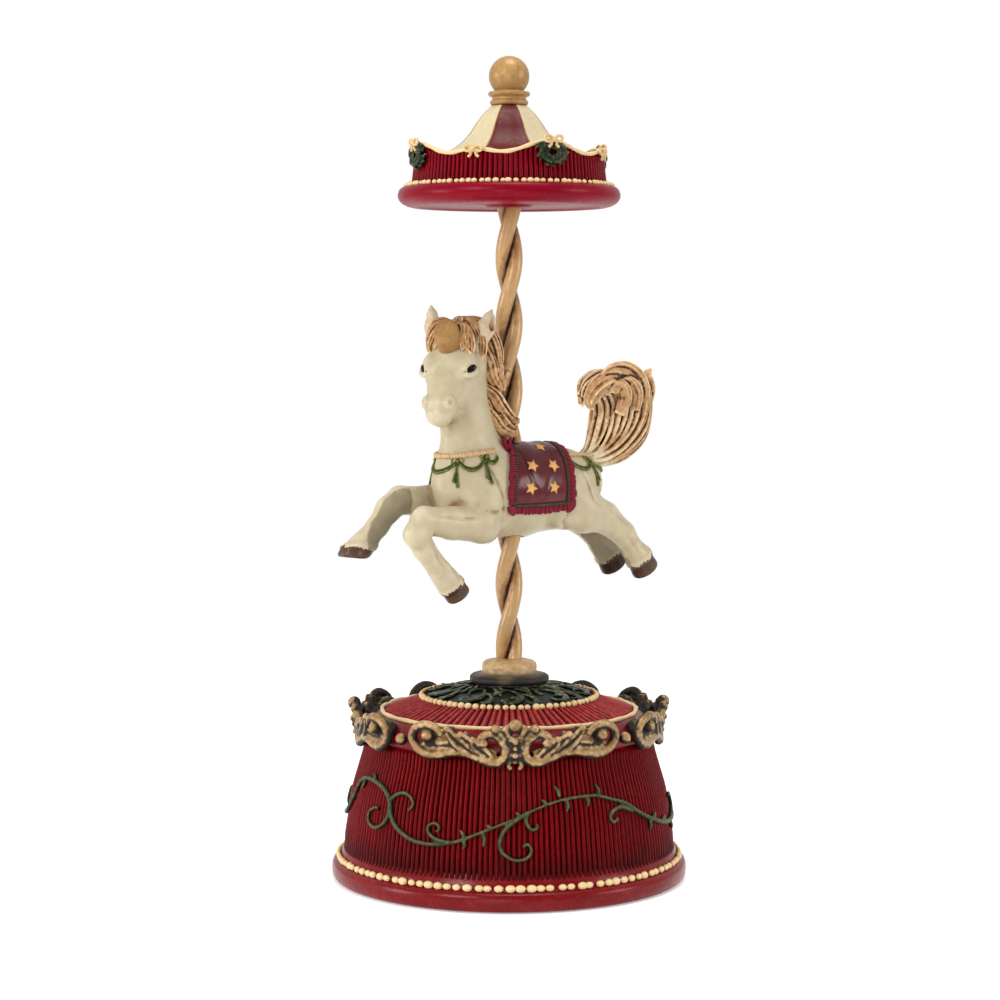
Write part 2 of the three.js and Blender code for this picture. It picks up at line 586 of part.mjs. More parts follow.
const tailStations = [
  [-27.8, 0, 104.6, 2.6, 2.6], [-32, 0, 105.6, 3.2, 3.2], [-38, 0, 108, 3.8, 4.6], [-43, 0, 113.6, 4.2, 5.4], [-44, 0, 120, 4.4, 5.6],
  [-41, 0, 126, 4.4, 5], [-35, 0, 127, 4, 4.2], [-29.4, 0, 124, 3, 3.2], [-27.2, 0, 120.2, 1.6, 1.8],
];

const swollen = (stations, by) => stations.map(([x, y, z, a, b]) => [x, y, z, a + by, b + by]);

const inHead = (geometry) => geometry.rotateZ((HEAD_TURN * Math.PI) / 180).translate(...POLL);

function horseBody() {
  const ear = (side) =>
    limb([[-0.2, side * 5.4, -5, 2, 1.4], [-0.8, side * 6.2, -0.6, 2.3, 1.4], [-0.9, side * 6.8, 3.4, 1.4, 0.9], [-0.9, side * 7, 5.9, 0.3, 0.3]], 6);
  const head = join(limb(headStations, 12), ear(1), ear(-1));
  const solid = join(limb(torsoStations, 16), limb(neckStations, 12), inHead(head));
  return cut(solid, rod(POLE_SOCKET_R, 60, BELLY_SOCKET_Z, 0, 0, 20), rod(POLE_SOCKET_R, BACK_SOCKET_Z, 140, 0, 0, 20));
}

function leg(stations) {
  return cut(limb(stations, 10), limb(swollen(torsoStations, GAP), 16));
}

function mane() {
  return cut(limb(maneStations, 8), limb(swollen(neckStations, GAP), 12), limb(swollen(torsoStations, GAP), 16),
    inHead(limb(swollen(headStations, GAP), 12)), inHead(limb([[-0.2, 5.4, -5, 2.6, 2], [-0.8, 6.2, -0.6, 2.9, 2], [-0.9, 6.8, 3.4, 2, 1.5]], 6)),
    rod(POLE_SOCKET_R, 100, 150, 0, 0, 20));
}

const tail = () => cut(limb(tailStations, 10), limb(swollen(torsoStations, GAP), 16));

// A blunt gilt knob on the forehead, set in a shallow socket of its own.
const foreheadKnob = () =>
  inHead(
    cut(
      turned([[0, 0], [3.2, 0], [3.1, 4], [2.5, 6.6], [0, 7.4]], 14).rotateY(1.15).translate(6.4, 0, -2.6),
      limb(swollen(headStations, GAP), 12),
    ),
  );

// ---- Assembly ------------------------------------------------------------------------
const musicBox = new THREE.Group();
const horse = new THREE.Group();
horse.rotation.z = ((180 + HEADING) * Math.PI) / 180;
musicBox.add(horse);

function add(name, geometry, material, parent = musicBox) {
  const mesh = new THREE.Mesh(geometry, material);
  mesh.name = name;
  parent.add(mesh);
}

add("base_shell", baseShell(), redResin);
add("bottom_plate", bottomPlate(), fibreboard);
plateScrews.forEach(([x, y], i) => add(`plate_screw_${i + 1}`, screwUp(x, y, PLATE_Z + 1.1, 7.5, 1.4), steel));
add("bedplate", bedplate(), zinc);
bedScrews.forEach(([x, y], i) => add(`movement_screw_${i + 1}`, screwUp(x, y, PLATE_Z + 1.1, 4.6, 1.35), steel));
add("comb", comb(), steel);
combScrews.forEach(([x, y], i) => add(`comb_screw_${i + 1}`, screwDown(x, y, AXIS_Z + 0.7, 5, 1, 2, 0.9), steel));
add("governor_frame", governorFrame(), brass);
add("governor_screw", screwDown(governorScrew[0], governorScrew[1], BED_TOP + GAP + 1.2 + GAP, 3, 0.9, 1.5, 0.8), steel);
add("winding_arbor", windingArbor(), steel);
add("winding_key", windingKey(), brass);
add("barrel_cup", barrelCup(), brass);
add("barrel_wheel", contrateWheel(), brass);
add("barrel_lid", barrelLid(), brass);
add("mainspring", mainspring(), steel);
add("cylinder", cylinder(), brass);
add("cylinder_arbor", cylinderArbor(), steel);
add("cylinder_pinion", cylinderPinion(), brass);
add("cylinder_end_wheel", cylinderEndWheel(), brass);
add("governor_wheel", governorWheel(), brass);
add("governor_worm", governorWorm(), steel);
add("governor_fly", governorFly(), steel);
add("output_shaft", outputShaft(), steel);
add("top_bush", topBush(), brass);
add("thrust_washer", thrustWasher(), nylon);
add("pole_foot", poleFoot(), goldPaint);
add("lower_pole", twistedPole(POLE_Z, BELLY_SOCKET_Z - GAP), goldPaint);
add("upper_pole", twistedPole(BACK_SOCKET_Z + GAP, CANOPY_SOCKET_Z - GAP), goldPaint);
add("horse_body", horseBody(), creamResin, horse);
for (const [name, stations] of Object.entries(legStations)) add(name, leg(stations), creamResin, horse);
add("mane", mane(), hairPaint, horse);
add("tail", tail(), hairPaint, horse);
add("forehead_knob", foreheadKnob(), goldPaint, horse);
add("canopy_drum", canopyDrum(), redResin);
add("canopy_crest", canopyCrest(), goldPaint);
add("canopy_roof", canopyRoof(), creamResin);
add("finial", finial(), goldPaint);

export default musicBox;
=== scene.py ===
import bpy
import bmesh
import numpy as np
from math import atan2, cos, hypot, pi, radians, sin
from mathutils import Matrix, Vector
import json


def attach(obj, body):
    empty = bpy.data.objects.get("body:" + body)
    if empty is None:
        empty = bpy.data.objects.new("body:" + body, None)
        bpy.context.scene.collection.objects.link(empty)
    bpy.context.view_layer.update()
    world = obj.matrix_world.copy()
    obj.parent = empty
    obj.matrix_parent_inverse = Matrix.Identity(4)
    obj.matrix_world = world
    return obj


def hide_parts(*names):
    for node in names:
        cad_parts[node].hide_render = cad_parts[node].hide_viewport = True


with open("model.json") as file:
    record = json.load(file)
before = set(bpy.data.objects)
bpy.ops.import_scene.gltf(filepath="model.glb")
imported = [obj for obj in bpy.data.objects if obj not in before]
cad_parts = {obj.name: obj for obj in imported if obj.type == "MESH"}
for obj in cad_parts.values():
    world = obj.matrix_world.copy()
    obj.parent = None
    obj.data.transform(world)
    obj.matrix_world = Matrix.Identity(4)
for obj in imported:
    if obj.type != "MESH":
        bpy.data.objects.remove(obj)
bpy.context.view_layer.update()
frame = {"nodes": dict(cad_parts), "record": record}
mm = 0.001


# Small tools: meshes from arrays, smooth lines, pieces on their bodies

def curveThrough(points, perSpan=6, closed=False):
    p = np.asarray(points, float)
    n = len(p)
    spans = n if closed else n - 1
    get = (lambda i: p[i % n]) if closed else (lambda i: p[min(max(i, 0), n - 1)])
    rows = []
    for i in range(spans):
        a, b, c, d = get(i - 1), get(i), get(i + 1), get(i + 2)
        for t in np.arange(perSpan) / perSpan:
            rows.append(0.5 * (2 * b + (c - a) * t + (2 * a - 5 * b + 4 * c - d) * t * t
                               + (3 * b - a - 3 * c + d) * t ** 3))
    if not closed:
        rows.append(p[-1])
    return np.array(rows)


def meshFrom(name, verts, faces, values=None, merge=0.0, recalc=True):
    mesh = bpy.data.meshes.new(name)
    mesh.from_pydata((np.asarray(verts, float) * mm).tolist(), [], [tuple(map(int, f)) for f in faces])
    for key, data in (values or {}).items():
        mesh.attributes.new(key, "FLOAT", "POINT").data.foreach_set("value", np.asarray(data, np.float32))
    if merge or recalc:
        bm = bmesh.new()
        bm.from_mesh(mesh)
        if merge:
            bmesh.ops.remove_doubles(bm, verts=bm.verts, dist=merge * mm)
        if recalc:
            bmesh.ops.recalc_face_normals(bm, faces=bm.faces)
        bm.to_mesh(mesh)
        bm.free()
    mesh.shade_smooth()
    return mesh


def objectFrom(name, mesh):
    thing = bpy.data.objects.new(name, mesh)
    bpy.context.scene.collection.objects.link(thing)
    return thing


def gridFaces(rows, columns, closeRows=False, closeColumns=False):
    faces = []
    for i in range(rows if closeRows else rows - 1):
        for j in range(columns if closeColumns else columns - 1):
            a, b = i * columns + j, i * columns + (j + 1) % columns
            c, d = ((i + 1) % rows) * columns + (j + 1) % columns, ((i + 1) % rows) * columns + j
            faces.append((a, b, c, d))
    return faces


def revolved(name, outline, sides=160, wobble=None):
    line = np.asarray(outline, float)
    turn = np.arange(sides) * 2 * pi / sides
    r = np.repeat(line[None, :, 0], sides, 0)
    z = np.repeat(line[None, :, 1], sides, 0)
    if wobble is not None:
        dr, dz = wobble(turn[:, None], r, z)
        r, z = r + dr, z + dz
    verts = np.stack([r * np.cos(turn)[:, None], r * np.sin(turn)[:, None], z], -1).reshape(-1, 3)
    faces = gridFaces(sides, len(line), True, True)
    return objectFrom(name, meshFrom(name, verts, faces, merge=0.004))


def finish(thing, body, material=None, replaces=()):
    if material is not None:
        thing.data.materials.clear()
        thing.data.materials.append(material)
    thing.data.name = thing.name
    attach(thing, body)
    if replaces:
        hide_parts(*replaces)
    return thing


def addHollow(mesh, rounds=8, gain=3.0, smooth=0):
    # 0 on crests, 0.5 on flats, 1 in hollows; gain is per millimetre
    # the paints darken where this is high and lighten where it is low: wash and wear, and painted shade in hollows and
    # painted highlight on crests
    n = len(mesh.vertices)
    co = np.zeros(n * 3, np.float32)
    mesh.vertices.foreach_get("co", co)
    co = co.reshape(-1, 3).astype(float) / mm
    edges = np.zeros(len(mesh.edges) * 2, np.int64)
    mesh.edges.foreach_get("vertices", edges)
    a, b = edges.reshape(-1, 2).T
    count = np.maximum(np.bincount(a, minlength=n) + np.bincount(b, minlength=n), 1)[:, None]

    def mean(v):
        total = np.stack([np.bincount(a, v[b, k], n) + np.bincount(b, v[a, k], n) for k in range(v.shape[1])], 1)
        return total / count

    for _ in range(smooth):
        co = 0.5 * co + 0.5 * mean(co)
    if smooth:
        mesh.vertices.foreach_set("co", (co * mm).astype(np.float32).ravel())
        mesh.update()
    normal = np.zeros(n * 3, np.float32)
    mesh.vertex_normals.foreach_get("vector", normal)
    soft = co.copy()
    for _ in range(rounds):
        soft = 0.3 * soft + 0.7 * mean(soft)
    depth = ((soft - co) * normal.reshape(-1, 3)).sum(1)
    value = np.clip(0.5 + depth * gain, 0, 1)[:, None]
    value = 0.5 * value + 0.5 * mean(value)
    if "hollow" in mesh.attributes:
        mesh.attributes.remove(mesh.attributes["hollow"])
    mesh.attributes.new("hollow", "FLOAT", "POINT").data.foreach_set("value", value[:, 0].astype(np.float32))


def shadeByFacing(mesh, amount, flat=0.75, up=0.0):
    # brushed gilding only catches what faces outwards, and the rest keeps its dark ground; the tilt upwards adds
    # painted shade on faces turned from the light above and painted highlight on faces turned to it
    n = len(mesh.vertices)
    co, normal, value = np.zeros(n * 3, np.float32), np.zeros(n * 3, np.float32), np.zeros(n, np.float32)
    mesh.vertices.foreach_get("co", co)
    mesh.vertex_normals.foreach_get("vector", normal)
    held = mesh.attributes["hollow"].data
    held.foreach_get("value", value)
    out = co.reshape(-1, 3) * (1, 1, 0)
    out = out / (np.linalg.norm(out, axis=1, keepdims=True) + 1e-9)
    brush = out * (1 - up) + np.array([0, 0, up])
    facing = (normal.reshape(-1, 3) * brush).sum(1) / np.linalg.norm(brush, axis=1)
    held.foreach_set("value", np.clip(value + amount * (flat - facing), 0, 1).astype(np.float32))


# Geometry Nodes: a ring of copies, and strands swept along lines

def nodeIn(tree, kind, **settings):
    made = tree.nodes.new(kind)
    for key, value in settings.items():
        setattr(made, key, value)
    return made


def newTree(name, inputs):
    tree = bpy.data.node_groups.new(name, "GeometryNodeTree")
    tree.interface.new_socket("Geometry", in_out="INPUT", socket_type="NodeSocketGeometry")
    for label, kind, value in inputs:
        socket = tree.interface.new_socket(label, in_out="INPUT", socket_type="NodeSocket" + kind)
        if value is not None:
            socket.default_value = value
    tree.interface.new_socket("Geometry", in_out="OUTPUT", socket_type="NodeSocketGeometry")
    return tree, tree.nodes.new("NodeGroupInput"), tree.nodes.new("NodeGroupOutput")


def mathIn(tree, operation, a, b):
    made = nodeIn(tree, "ShaderNodeMath", operation=operation)
    for socket, value in zip(made.inputs, (a, b)):
        if isinstance(value, (int, float)):
            socket.default_value = value
        else:
            tree.links.new(value, socket)
    return made.outputs[0]


def jitterIn(tree, amount, seed, index):
    made = nodeIn(tree, "FunctionNodeRandomValue", data_type="FLOAT")
    tree.links.new(mathIn(tree, "MULTIPLY", amount, -1.0), made.inputs[2])
    tree.links.new(amount, made.inputs[3])
    tree.links.new(index, made.inputs["ID"])
    tree.links.new(seed, made.inputs["Seed"])
    return made.outputs[1]


def buildRingTree():
    # copies of one element, spaced evenly about +Z
    tree, given, out = newTree("ringOfCopies", [
        ("Count", "Int", 12), ("Start", "Float", 0.0), ("Radius", "Float", 0.0), ("Height", "Float", 0.0),
        ("Turn Jitter", "Float", 0.0), ("Size Jitter", "Float", 0.0), ("Seed", "Int", 1), ("Material", "Material", None)])
    link, get = tree.links.new, given.outputs
    index = nodeIn(tree, "GeometryNodeInputIndex").outputs[0]
    step = mathIn(tree, "DIVIDE", 2 * pi, get["Count"])
    even = mathIn(tree, "ADD", mathIn(tree, "MULTIPLY", index, step), get["Start"])
    shift = mathIn(tree, "MULTIPLY", jitterIn(tree, get["Turn Jitter"], get["Seed"], index), step)
    angle = mathIn(tree, "ADD", even, shift)
    size = mathIn(tree, "ADD", 1.0, jitterIn(tree, get["Size Jitter"], mathIn(tree, "ADD", get["Seed"], 7), index))
    arm = nodeIn(tree, "ShaderNodeCombineXYZ")
    link(get["Radius"], arm.inputs["X"])
    link(get["Height"], arm.inputs["Z"])
    turned = nodeIn(tree, "ShaderNodeVectorRotate", rotation_type="Z_AXIS")
    link(arm.outputs[0], turned.inputs["Vector"])
    link(angle, turned.inputs["Angle"])
    dots = nodeIn(tree, "GeometryNodePoints")
    link(get["Count"], dots.inputs["Count"])
    link(turned.outputs[0], dots.inputs["Position"])
    facing = nodeIn(tree, "ShaderNodeCombineXYZ")
    link(angle, facing.inputs["Z"])
    copies = nodeIn(tree, "GeometryNodeInstanceOnPoints")
    link(dots.outputs[0], copies.inputs["Points"])
    link(get["Geometry"], copies.inputs["Instance"])
    link(facing.outputs[0], copies.inputs["Rotation"])
    link(size, copies.inputs["Scale"])
    real = nodeIn(tree, "GeometryNodeRealizeInstances")
    paint = nodeIn(tree, "GeometryNodeSetMaterial")
    link(copies.outputs[0], real.inputs[0])
    link(real.outputs[0], paint.inputs["Geometry"])
    link(get["Material"], paint.inputs["Material"])
    link(paint.outputs[0], out.inputs["Geometry"])
    return tree


def buildStrandTree():
    # round strands along loose lines, as thick as the lines' own "thick" says
    tree, given, out = newTree("strandsAlongLines", [("Sides", "Int", 8), ("Swell", "Float", 1.0), ("Material", "Material", None)])
    link, get = tree.links.new, given.outputs
    line = nodeIn(tree, "GeometryNodeMeshToCurve")
    link(get["Geometry"], line.inputs["Mesh"])
    thick = nodeIn(tree, "GeometryNodeInputNamedAttribute", data_type="FLOAT")
    thick.inputs["Name"].default_value = "thick"
    circle = nodeIn(tree, "GeometryNodeCurvePrimitiveCircle")
    circle.inputs["Radius"].default_value = 1.0
    link(get["Sides"], circle.inputs["Resolution"])
    sweep = nodeIn(tree, "GeometryNodeCurveToMesh")
    sweep.inputs["Fill Caps"].default_value = True
    link(line.outputs[0], sweep.inputs["Curve"])
    link(circle.outputs[0], sweep.inputs["Profile Curve"])
    link(mathIn(tree, "MULTIPLY", thick.outputs[0], get["Swell"]), sweep.inputs["Scale"])
    real = nodeIn(tree, "GeometryNodeRealizeInstances")
    paint = nodeIn(tree, "GeometryNodeSetMaterial")
    link(sweep.outputs[0], real.inputs[0])
    link(real.outputs[0], paint.inputs["Geometry"])
    link(get["Material"], paint.inputs["Material"])
    link(paint.outputs[0], out.inputs["Geometry"])
    return tree


ringTree, strandTree = buildRingTree(), buildStrandTree()


def runTree(thing, tree, **inputs):
    modifier = thing.modifiers.new(tree.name, "NODES")
    modifier.node_group = tree
    for item in tree.interface.items_tree:
        key = item.name.replace(" ", "")
        if item.in_out == "INPUT" and key in inputs:
            modifier[item.identifier] = inputs[key]
    return bakeModifiers(thing)


def bakeModifiers(thing):
    bpy.context.view_layer.update()
    graph = bpy.context.evaluated_depsgraph_get()
    made = bpy.data.meshes.new_from_object(thing.evaluated_get(graph))
    thing.modifiers.clear()
    thing.data = made
    made.shade_smooth()
    return thing


def ringOf(name, mesh, count, material, start=0.0, radius=0.0, height=0.0, turnJitter=0.0, sizeJitter=0.0, seed=1):
    return runTree(objectFrom(name, mesh), ringTree, Count=count, Start=start, Radius=radius * mm, Height=height * mm,
                   TurnJitter=turnJitter, SizeJitter=sizeJitter, Seed=seed, Material=material)


def strands(name, lines, material=None, sides=8, swell=1.0):
    # each line is rows of x, y, z, radius in millimetres
    verts, edges, thick = [], [], []
    for line in lines:
        line = np.asarray(line, float)
        edges += [(len(verts) + k, len(verts) + k + 1) for k in range(len(line) - 1)]
        verts += line[:, :3].tolist()
        thick += (line[:, 3] * mm).tolist()
    mesh = bpy.data.meshes.new(name)
    mesh.from_pydata((np.asarray(verts) * mm).tolist(), edges, [])
    mesh.attributes.new("thick", "FLOAT", "POINT").data.foreach_set("value", np.asarray(thick, np.float32))
    return runTree(objectFrom(name, mesh), strandTree, Sides=sides, Swell=swell, Material=material)


def fused(thing, voxel, smooth=2, rounds=8, gain=3.0):
    # one closed skin over everything in the mesh
    remesh = thing.modifiers.new("fuse", "REMESH")
    remesh.mode = "VOXEL"
    remesh.voxel_size = voxel * mm
    bakeModifiers(thing)
    addHollow(thing.data, rounds, gain, smooth)
    return thing


def joined(name, things):
    bm = bmesh.new()
    for thing in things:
        bm.from_mesh(thing.data)
    mesh = bpy.data.meshes.new(name)
    bm.to_mesh(mesh)
    bm.free()
    for thing in things:
        bpy.data.objects.remove(thing)
    mesh.shade_smooth()
    return objectFrom(name, mesh)


def ball(name, centre, radius, stretch=(1, 1, 1), level=3):
    bm = bmesh.new()
    bmesh.ops.create_icosphere(bm, subdivisions=level, radius=1.0)
    size = Vector(stretch) * radius * mm
    bmesh.ops.transform(bm, matrix=Matrix.Translation(Vector(centre) * mm) @ Matrix.Diagonal((*size, 1)), verts=bm.verts)
    mesh = bpy.data.meshes.new(name)
    bm.to_mesh(mesh)
    bm.free()
    mesh.shade_smooth()
    return objectFrom(name, mesh)


# Paint: one shared group for aged hand paint, with painted shade in hollows and painted highlight on crests, then a
# material for each finish

def rgb(r, g, b):
    # a colour as it is seen, 0 to 255
    return tuple(((c / 255) / 12.92 if c <= 10 else ((c / 255 + 0.055) / 1.055) ** 2.4) for c in (r, g, b)) + (1.0,)


def buildAgedPaint():
    tree = bpy.data.node_groups.new("agedPaint", "ShaderNodeTree")
    for label, kind, value in [
            ("Paint", "Color", (0.5, 0.5, 0.5, 1)), ("Wash", "Color", (0.02, 0.02, 0.02, 1)), ("Worn", "Color", (1, 1, 1, 1)),
            ("Hollow", "Float", 0.5), ("Grime", "Float", 0.0), ("Wash From", "Float", 0.5), ("Wash To", "Float", 0.9),
            ("Wash Amount", "Float", 1.0), ("Worn From", "Float", 0.45), ("Worn To", "Float", 0.1),
            ("Worn Amount", "Float", 0.5), ("Grain Scale", "Float", 900.0), ("Mottle", "Float", 0.25),
            ("Smooth", "Float", 0.35), ("Rough", "Float", 0.6)]:
        socket = tree.interface.new_socket(label, in_out="INPUT", socket_type="NodeSocket" + kind)
        socket.default_value = value
    for label, kind in [("Color", "Color"), ("Roughness", "Float"), ("Height", "Float")]:
        tree.interface.new_socket(label, in_out="OUTPUT", socket_type="NodeSocket" + kind)
    given, out = tree.nodes.new("NodeGroupInput"), tree.nodes.new("NodeGroupOutput")
    link, get = tree.links.new, given.outputs
    place = nodeIn(tree, "ShaderNodeTexCoord").outputs["Object"]

    def noise(scale, detail, share=1.0):
        made = nodeIn(tree, "ShaderNodeTexNoise")
        link(place, made.inputs["Vector"])
        link(mathIn(tree, "MULTIPLY", scale, share), made.inputs["Scale"])
        made.inputs["Detail"].default_value = detail
        return made.outputs["Fac"]

    broad = noise(get["Grain Scale"], 3.0, 0.16)
    fine = noise(get["Grain Scale"], 4.0)

    def ramp(value, low, high):
        made = nodeIn(tree, "ShaderNodeMapRange", interpolation_type="SMOOTHSTEP")
        link(value, made.inputs["Value"])
        link(low, made.inputs["From Min"])
        link(high, made.inputs["From Max"])
        return made.outputs[0]

    def mix(share, a, b, mode="MIX"):
        made = nodeIn(tree, "ShaderNodeMix", data_type="RGBA", blend_type=mode)
        link(share, made.inputs["Factor"])
        for value, socket in ((a, made.inputs[6]), (b, made.inputs[7])):
            if isinstance(value, tuple):
                socket.default_value = value
            else:
                link(value, socket)
        return made.outputs[2]

    spread = mathIn(tree, "MULTIPLY", mathIn(tree, "SUBTRACT", fine, 0.5), 0.35)
    bumpy = mathIn(tree, "ADD", get["Hollow"], spread)
    # darker in hollows: antique wash, and painted shade where shade falls in grooves and creases
    wash = mathIn(tree, "MULTIPLY", ramp(bumpy, get["Wash From"], get["Wash To"]), get["Wash Amount"])
    # darker towards the bottom, between heights the material gives
    lowDark = mathIn(tree, "MULTIPLY", get["Grime"], mathIn(tree, "ADD", 0.5, broad))
    wash = nodeMax(tree, wash, lowDark)
    # lighter on crests: worn paint, and painted highlight where light catches the ridges
    worn = mathIn(tree, "MULTIPLY", ramp(bumpy, get["Worn From"], get["Worn To"]), get["Worn Amount"])
    worn = mathIn(tree, "MULTIPLY", worn, mathIn(tree, "ADD", 0.35, broad))
    patch = mathIn(tree, "MULTIPLY", mathIn(tree, "MULTIPLY", mathIn(tree, "ADD", mathIn(tree, "SUBTRACT", broad, 0.5),
                                                                    mathIn(tree, "SUBTRACT", fine, 0.5)), 1.6), get["Mottle"])
    darker = mathIn(tree, "MAXIMUM", patch, 0.0)
    lighter = mathIn(tree, "MAXIMUM", mathIn(tree, "MULTIPLY", patch, -1.0), 0.0)
    colour = mix(darker, get["Paint"], get["Wash"])
    colour = mix(lighter, colour, get["Worn"])
    colour = mix(wash, colour, get["Wash"])
    colour = mix(worn, colour, get["Worn"])
    link(colour, out.inputs["Color"])
    gloss = nodeIn(tree, "ShaderNodeMapRange")
    link(mathIn(tree, "ADD", mathIn(tree, "MULTIPLY", wash, 0.5), mathIn(tree, "MULTIPLY", fine, 0.7)), gloss.inputs["Value"])
    link(get["Smooth"], gloss.inputs["To Min"])
    link(get["Rough"], gloss.inputs["To Max"])
    link(gloss.outputs[0], out.inputs["Roughness"])
    link(mathIn(tree, "ADD", mathIn(tree, "MULTIPLY", fine, 0.5), mathIn(tree, "MULTIPLY", broad, 0.8)), out.inputs["Height"])
    return tree


def nodeMax(tree, a, b):
    made = nodeIn(tree, "ShaderNodeMath", operation="MAXIMUM", use_clamp=True)
    tree.links.new(a, made.inputs[0])
    tree.links.new(b, made.inputs[1])
    return made.outputs[0]


agedPaint = buildAgedPaint()


def paintMaterial(name, paint, wash, worn, hollow=True, grimeHeights=None, bump=0.12, metallic=0.0, coat=0.0, shine=0.15, **group):
    made = bpy.data.materials.new(name)
    made.use_nodes = True
    tree = made.node_tree
    shader = tree.nodes["Principled BSDF"]
    aged = nodeIn(tree, "ShaderNodeGroup", node_tree=agedPaint)
    aged.inputs["Paint"].default_value, aged.inputs["Wash"].default_value, aged.inputs["Worn"].default_value = paint, wash, worn
    for key, value in group.items():
        aged.inputs[key].default_value = value
    if hollow:
        held = nodeIn(tree, "ShaderNodeAttribute", attribute_name="hollow")
        tree.links.new(held.outputs["Fac"], aged.inputs["Hollow"])
    # darker towards the bottom: full at the lower height, none at the upper
    if grimeHeights:
        low, high, amount = grimeHeights
        apart = nodeIn(tree, "ShaderNodeSeparateXYZ")
        tree.links.new(nodeIn(tree, "ShaderNodeTexCoord").outputs["Object"], apart.inputs[0])
        fade = nodeIn(tree, "ShaderNodeMapRange", interpolation_type="SMOOTHSTEP")
        tree.links.new(apart.outputs["Z"], fade.inputs["Value"])
        fade.inputs["From Min"].default_value, fade.inputs["From Max"].default_value = high * mm, low * mm
        fade.inputs["To Max"].default_value = amount
        tree.links.new(fade.outputs[0], aged.inputs["Grime"])
    tree.links.new(aged.outputs["Color"], shader.inputs["Base Color"])
    tree.links.new(aged.outputs["Roughness"], shader.inputs["Roughness"])
    lift = nodeIn(tree, "ShaderNodeBump")
    lift.inputs["Strength"].default_value = 1.0
    lift.inputs["Distance"].default_value = bump * mm
    tree.links.new(aged.outputs["Height"], lift.inputs["Height"])
    tree.links.new(lift.outputs[0], shader.inputs["Normal"])
    shader.inputs["Metallic"].default_value = metallic
    shader.inputs["Specular IOR Level"].default_value = shine
    shader.inputs["Coat Weight"].default_value = coat
    shader.inputs["Coat Roughness"].default_value = 0.15
    return made


drumRed = paintMaterial("drumRed", rgb(92, 0, 3), rgb(14, 0, 1), rgb(142, 10, 12), **{
    "Wash From": 0.45, "Wash To": 0.95, "Wash Amount": 0.9, "Worn From": 0.3, "Worn To": 0.0, "Worn Amount": 0.5,
    "Mottle": 0.35, "Smooth": 0.22, "Rough": 0.42}, grimeHeights=(8, 16, 0.6), bump=0.08, shine=0.06)
flangeRed = paintMaterial("flangeRed", rgb(108, 2, 8), rgb(44, 2, 6), rgb(158, 66, 62), hollow=False, **{
    "Mottle": 0.4, "Smooth": 0.2, "Rough": 0.4}, bump=0.1, shine=0.18)
topRed = paintMaterial("topRed", rgb(128, 4, 10), rgb(36, 0, 2), rgb(196, 96, 90), **{
    "Wash From": 0.5, "Wash To": 0.95, "Worn From": 0.4, "Worn To": 0.0, "Worn Amount": 0.6, "Mottle": 0.35}, bump=0.08)
canopyRed = paintMaterial("canopyRed", rgb(112, 0, 15), rgb(32, 0, 6), rgb(140, 6, 24), **{
    "Wash From": 0.5, "Wash To": 0.95, "Worn From": 0.3, "Worn To": 0.0, "Worn Amount": 0.4, "Mottle": 0.3,
    "Smooth": 0.22, "Rough": 0.42}, bump=0.08, shine=0.06)
rimRed = paintMaterial("rimRed", rgb(120, 0, 24), rgb(70, 0, 12), rgb(150, 24, 44), hollow=False, **{
    "Mottle": 0.45, "Smooth": 0.24, "Rough": 0.45}, bump=0.1, shine=0.1)
goldRelief = paintMaterial("goldRelief", rgb(148, 114, 70), rgb(14, 9, 6), rgb(226, 200, 158), **{
    "Wash From": 0.38, "Wash To": 0.6, "Wash Amount": 0.97, "Worn From": 0.32, "Worn To": 0.0, "Worn Amount": 0.9,
    "Mottle": 0.75, "Smooth": 0.28, "Rough": 0.55}, bump=0.14, metallic=0.2, shine=0.3)
goldBead = paintMaterial("goldBead", rgb(202, 168, 116), rgb(92, 58, 30), rgb(232, 208, 162), **{
    "Wash From": 0.46, "Wash To": 0.8, "Worn From": 0.45, "Worn To": 0.1, "Worn Amount": 0.6, "Mottle": 0.6}, bump=0.12)
goldPole = paintMaterial("goldPole", rgb(156, 116, 68), rgb(58, 22, 8), rgb(206, 168, 118), **{
    "Wash From": 0.5, "Wash To": 0.9, "Worn From": 0.42, "Worn To": 0.1, "Worn Amount": 0.5, "Mottle": 0.5,
    "Grain Scale": 700.0, "Smooth": 0.25, "Rough": 0.5}, bump=0.1, metallic=0.1, shine=0.4)
goldBall = paintMaterial("goldBall", rgb(164, 124, 70), rgb(112, 78, 40), rgb(196, 160, 104), hollow=False, **{
    "Mottle": 0.6, "Grain Scale": 1100.0, "Smooth": 0.3, "Rough": 0.55}, bump=0.14, metallic=0.15, shine=0.4)
vineGreen = paintMaterial("vineGreen", rgb(40, 52, 22), rgb(12, 16, 6), rgb(124, 112, 82), **{
    "Wash From": 0.5, "Wash To": 0.9, "Worn From": 0.42, "Worn To": 0.05, "Worn Amount": 0.5, "Mottle": 0.5}, bump=0.08)
leafGreen = paintMaterial("leafGreen", rgb(30, 44, 16), rgb(5, 7, 4), rgb(178, 172, 132), **{
    "Wash From": 0.42, "Wash To": 0.66, "Worn From": 0.3, "Worn To": 0.05, "Worn Amount": 0.75, "Mottle": 0.5,
    "Smooth": 0.2, "Rough": 0.4}, bump=0.1, shine=0.2)
leafShade = paintMaterial("leafShade", rgb(16, 22, 12), rgb(6, 8, 5), rgb(40, 50, 28), hollow=False, **{"Mottle": 0.5}, bump=0.08)
print("materials for the drum and canopy are ready")


# The drum: shell, ribs, beads, fluted top

drum = {"ribs": 191, "ribDepth": 0.55, "ribFoot": 6.8, "ribTop": 36.8, "beads": 108, "beadRadius": 0.86,
        "flutes": 102, "topBeads": 74, "palmetteTurn": 2.0}
wallLine = np.array([(6.6, 43.2), (7.8, 42.95), (9.2, 42.75), (10.8, 42.7), (13.9, 42.25), (15.2, 42.0), (19, 41.6), (24, 40.6),
                     (28.6, 39.2), (33, 37.9), (35, 37.55), (38, 37.45)])


def wallRadius(z):
    return np.interp(z, wallLine[:, 0], wallLine[:, 1])


